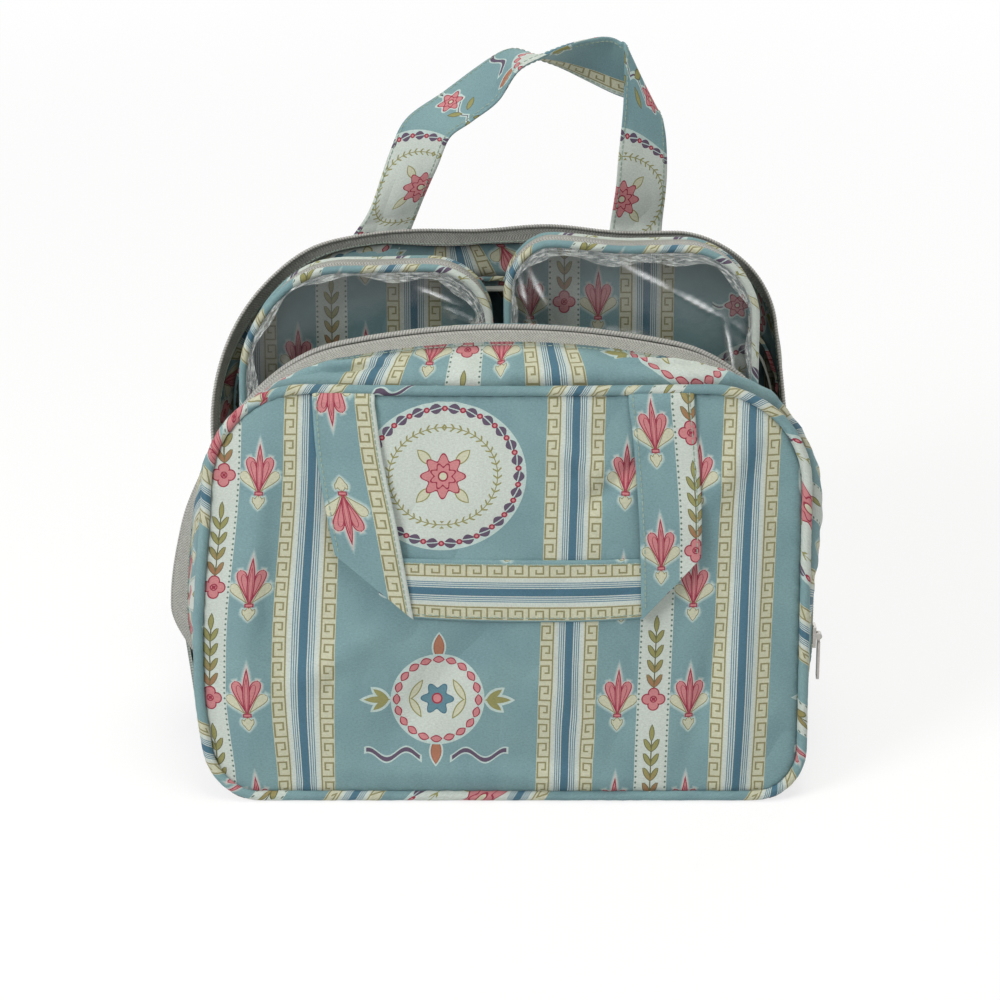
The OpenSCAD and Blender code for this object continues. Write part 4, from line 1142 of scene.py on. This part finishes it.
LEG_TOP, FOLD_OUT, FOLD_IN = 0.962, 0.606, 0.45
left_outer = on_panel((-0.317, LEG_TOP), (-0.31, 0.83), (-0.291, 0.68), (-0.28, FOLD_OUT))
left_inner = on_panel((-0.215, LEG_TOP), (-0.202, 0.83), (-0.178, 0.66), (-0.153, FOLD_IN))
right_outer = on_panel((0.304, LEG_TOP), (0.31, 0.86), (0.317, 0.72), (0.317, 0.598))
right_inner = on_panel((0.197, LEG_TOP), (0.206, 0.86), (0.216, 0.66), (0.22, 0.448))
middle_top = on_panel((-0.272, 0.6), (-0.1, 0.594), (0.1, 0.592), (0.31, 0.596), count=90)
middle_low = on_panel((-0.158, 0.452), (-0.05, 0.444), (0.12, 0.442), (0.222, 0.45), count=90)
HEAD_UP, HEAD_BACK = np.array([0.2, -1.4, -3.0, -4.6]), np.array([0.4, -0.9, -2.0, -2.8])
STRAP_LEVEL = 0.4 + STRAP_T / 2


def front_leg(outer, inner, u_outer, u_inner, upwards, row_s):
    """A leg from under the piping down to its slanted fold, where it rides on the stretch behind it."""
    step = np.linspace(0, 1, len(outer))
    rise = STRAP_LEVEL + STRAP_T * smooth(step, 0.35, 0.75)
    lines = []
    for line in (outer, inner):
        top = front_seam.height + front_seam.arch * (1 - (line[0, 0] / front_seam.half) ** 2)
        head = front_seam.place(line[0, 0], top + HEAD_UP, HEAD_BACK)
        lines.append(np.concatenate([head, on_front(line[:, 0], line[:, 1], rise)]))
    climb = (between(*lines)[..., 2] - PIPING_R) / cos(front_seam.lean) - row_s
    return *lines, band(*lines, u_outer, u_inner, along=climb if upwards else -climb)


def joined(name, parts, material, slot, node):
    """Several skins as one piece: their quads side by side in one mesh."""
    made = [skin(f"{name}_{i}", *part, material, slot) for i, part in enumerate(parts)]
    with bpy.context.temp_override(active_object=made[0], selected_editable_objects=made):
        bpy.ops.object.join()
    made[0].name = made[0].data.name = name
    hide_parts(node)
    return made[0]


left_a, left_b, left_leg = front_leg(left_outer, left_inner, 9, 38, False, 149)
right_a, right_b, right_leg = front_leg(right_outer, right_inner, -3, 28, True, 130)
middle_a = on_front(middle_top[:, 0], middle_top[:, 1], STRAP_LEVEL)
middle_b = on_front(middle_low[:, 0], middle_low[:, 1], STRAP_LEVEL)
middle = band(middle_a, middle_b, 26.8, 58.2, along=between(middle_a, middle_b)[..., 0])
front_strap = joined("front_strap_cloth", [left_leg, middle, right_leg], print_finish, "strap_cloth",
                     "front_handle")
stretches = (("left", left_a, left_b), ("right", right_b, right_a), ("middle", middle_b, middle_a))
for label, first, second in stretches:
    for edge_name, share in STRAP_ROWS:
        sheet_stitches(f"front_strap_stitches_{label}_{edge_name}", first, second, share, STITCH_LIFT)
print("front strap:", len(front_strap.data.polygons), "faces")

# %% Back strap
# Outer edge's x and height, inner edge's x and height, outer and inner depth, as shares of the bag's width,
# the strap's rise and the strap's width.
BACK_ROWS = np.array([
    (-0.31, 0, -0.2, 0, 0, 0), (-0.277, 0.13, -0.165, 0.19, -0.03, -0.03),
    (-0.239, 0.275, -0.144, 0.325, -0.04, 0.06), (-0.205, 0.49, -0.119, 0.49, -0.2, 0.3),
    (-0.173, 0.64, -0.097, 0.626, -0.3, 0.4), (-0.105, 0.76, -0.059, 0.69, -0.38, 0.44),
    (-0.046, 0.846, -0.015, 0.76, -0.42, 0.45), (0.005, 0.895, 0.019, 0.887, -0.48, 0.48),
    (0.047, 0.866, 0.064, 0.952, -0.5, 0.4), (0.092, 0.834, 0.11, 0.994, -0.45, 0.25),
    (0.141, 0.786, 0.154, 1, -0.36, 0.02), (0.188, 0.736, 0.178, 0.985, -0.28, -0.16),
    (0.234, 0.7, 0.193, 0.968, -0.22, -0.16), (0.262, 0.67, 0.2, 0.95, -0.06, -0.05),
    (0.273, 0.617, 0.2, 0.724, 0.05, 0.05), (0.278, 0.488, 0.193, 0.492, 0.05, 0.05),
    (0.278, 0.365, 0.19, 0.365, 0.02, 0.02), (0.273, 0.2, 0.183, 0.22, -0.03, -0.03),
    (0.268, 0, 0.172, 0, 0, 0)])
SEAT_X = 75.0
seat_s = BACK_H + BACK_ARCH * (1 - (SEAT_X / back_seam.half) ** 2) + PIPING_R / 2
strap_seat = back_seam.place(SEAT_X, seat_s, -PIPING_R - SEAM_GAP)
stand = back_top_y + 2 * PIPING_R - BASE_MID + TAPE_T - GUSSET_T - strap_seat[1]


def strap_edge(x, rise, depth):
    """An edge of the strap: against the gusset at its foot, clear of the zip a fifth of its rise up."""
    y = strap_seat[1] + GUSSET_T + SEAM_GAP + STRAP_T / 2
    y = y + stand * np.minimum(1, rise / 0.2) - depth * STRAP_W
    return np.stack([x * BAG_W, y, back_top_z + PIPING_R + HANDLE_RISE * rise], axis=-1)


rows = curve(BACK_ROWS, 240)
outer_edge = strap_edge(rows[:, 0], rows[:, 1], rows[:, 4])
inner_edge = strap_edge(rows[:, 2], rows[:, 3], rows[:, 5])
back_rings, back_places = band(outer_edge, inner_edge, 47, 80, v_from=60.0)
half_way = BAND_ACROSS.size
back_places[:, half_way:2 * half_way, 0] = 79 + 33 * BAND_ACROSS[::-1]
skin("back_strap_cloth", back_rings, back_places, print_finish, "strap_cloth", ["back_handle"])
for edge_name, share in STRAP_ROWS:
    for side_name, face in (("face", 1), ("back", -1)):
        sheet_stitches(f"back_strap_stitches_{edge_name}_{side_name}", outer_edge, inner_edge, share,
                       STITCH_LIFT, face)
print("back strap length:", round(run_length((outer_edge + inner_edge) / 2)[-1]), "mm")

# %% [markdown]
# ## Pouches
# The two pouches stand side by side in the main compartment. Each is a printed back and a clear front,
# joined all round by a narrow gusset that holds a zip. The vinyl was gathered a little as it was sewn, so
# a ruffle stands inside the piping; it is a strip whose waves grow towards its free edge.


# %% Pouches
FILM_T, WINDOW_T = 0.3, 0.5


def ruffle(name, seam, phase):
    """A strip inside the piping: uneven waves along the seam that grow towards its free edge."""
    tau = stretch([8.6, 8, 7, 6, 5, 4, 3.4], [40, 70, 90, 90, 70, 40])
    c = np.linspace(0, 1, 9)
    walk = run_length(seam.path(tau, 1.2, 0))[:, None]
    reach = 4.6 + 2.0 * np.sin(walk * 0.031 + phase) + 1.5 * np.sin(walk * 0.17 + 2 * phase)
    sewn, free = seam.flat(tau, 1.2), seam.flat(tau, 7.2)
    lines = [[f + (g - f) * reach[:, 0] / 6 * d for f, g in zip(sewn, free)] for d in c]
    points = np.stack([seam.place(*line, -0.9) for line in lines], axis=1)
    waves = np.sin(walk * 0.27 + phase + 2.6 * np.sin(walk * 0.05))
    waves = waves + 0.5 * np.sin(walk * 0.61 + 1.7 * phase)
    fade = np.sin(np.linspace(0, np.pi, len(tau)))[:, None] ** 0.5
    points = points - normals(points) * (waves * c * fade * 0.7 + 0.5 * c)[..., None]
    rings, places = sheet_rings(points, flat_place(walk, c * reach), FILM_T)
    return skin(name, rings, places, ruffle_finish, "clear_vinyl")


# Folds in each window: from and to point, half width and height; the clear vinyl also paints each one as a
# highlight line.
WINDOW_FOLDS = {
    "left": ((42, 203, 58, 196, 2.6, 0.8), (30, 214, 50, 205, 1.0, 0.5), (-50, 152, -40, 178, 0.9, 0.4)),
    "right": ((-58, 222, -50, 188, 0.9, 0.5), (-52, 222, -36, 190, 0.9, 0.5), (0, 226, 47, 200, 1.0, 0.6),
              (-16, 192, 7, 190, 2.4, 0.6), (47, 200, 54, 160, 1.1, 0.5)),
}


def pouch(side, seam, leaf_x, row_s):
    """All the soft pieces of one pouch, from its clear front to its printed back."""
    name, rear, middle_d = f"{side}_pouch", seam.set_back(POUCH_D), POUCH_D / 2
    lap, under_row = 0.8, ROW_SIDE - TAPE_TUCK
    window = panel(f"{name}_vinyl", seam, 0, 0, -WINDOW_BULGE, f"{name}_window", WINDOW_T, lap, vinyl_finish,
                   "clear_vinyl", 0.5, columns=110, rows=(8, 5, 90, 26), folds=WINDOW_FOLDS[side])
    ruffle(f"{name}_ruffle", seam, 0.4 if side == "left" else 2.1)
    piping(f"{name}_front_piping_cloth", seam, POUCH_PIPING_R + 0.5, 60, f"{name}_front_piping", 12)
    piping(f"{name}_back_piping_cloth", rear, POUCH_PIPING_R, 180, f"{name}_back_piping", 12)
    panel(f"{name}_back_cloth", rear, leaf_x, row_s, 0, f"{name}_back_panel", 1.0, lap, ripple=0.35,
          columns=80, rows=(8, 5, 40, 14))
    lines = [seam.path(OVER, 0, d) for d in (lap, middle_d - under_row, middle_d + under_row, POUCH_D - lap)]
    tape(f"{name}_front_tape_weave", *lines[:2], f"{name}_front_tape")
    tape(f"{name}_back_tape_weave", *lines[2:], f"{name}_back_tape")
    coil(f"{name}_front_coil", seam, middle_d - ROW_OFF, f"{name}_front_teeth")
    coil(f"{name}_back_coil", seam, middle_d + ROW_OFF, f"{name}_back_teeth", slant=-1.0)
    strip(f"{name}_base_cloth", seam.path(UNDER, 0, lap), seam.path(UNDER, 0, POUCH_D - lap), 20, 10, 0,
          GUSSET_T, f"{name}_base")
    cut = (2 * seam.half * MM, (seam.height + seam.arch) * MM)
    0.97 * cut[0] * cut[1]


pouch("left", pouch_seams["left"], -19, 60)
pouch("right", pouch_seams["right"], -34, 34)
print("two pouches sewn")

# %% Stitches along the zips
FINE = {"pitch": 2.8, "radius": 0.28}
sheet_stitches("front_gusset_stitches", front_edge, zip_near, 0.93, GUSSET_T / 2 + 0.4, **FINE)
sheet_stitches("back_gusset_stitches", tape_seam, back_edge, 0.06, GUSSET_T / 2 + 0.1, -1, **FINE)
print("zip stitches sewn")
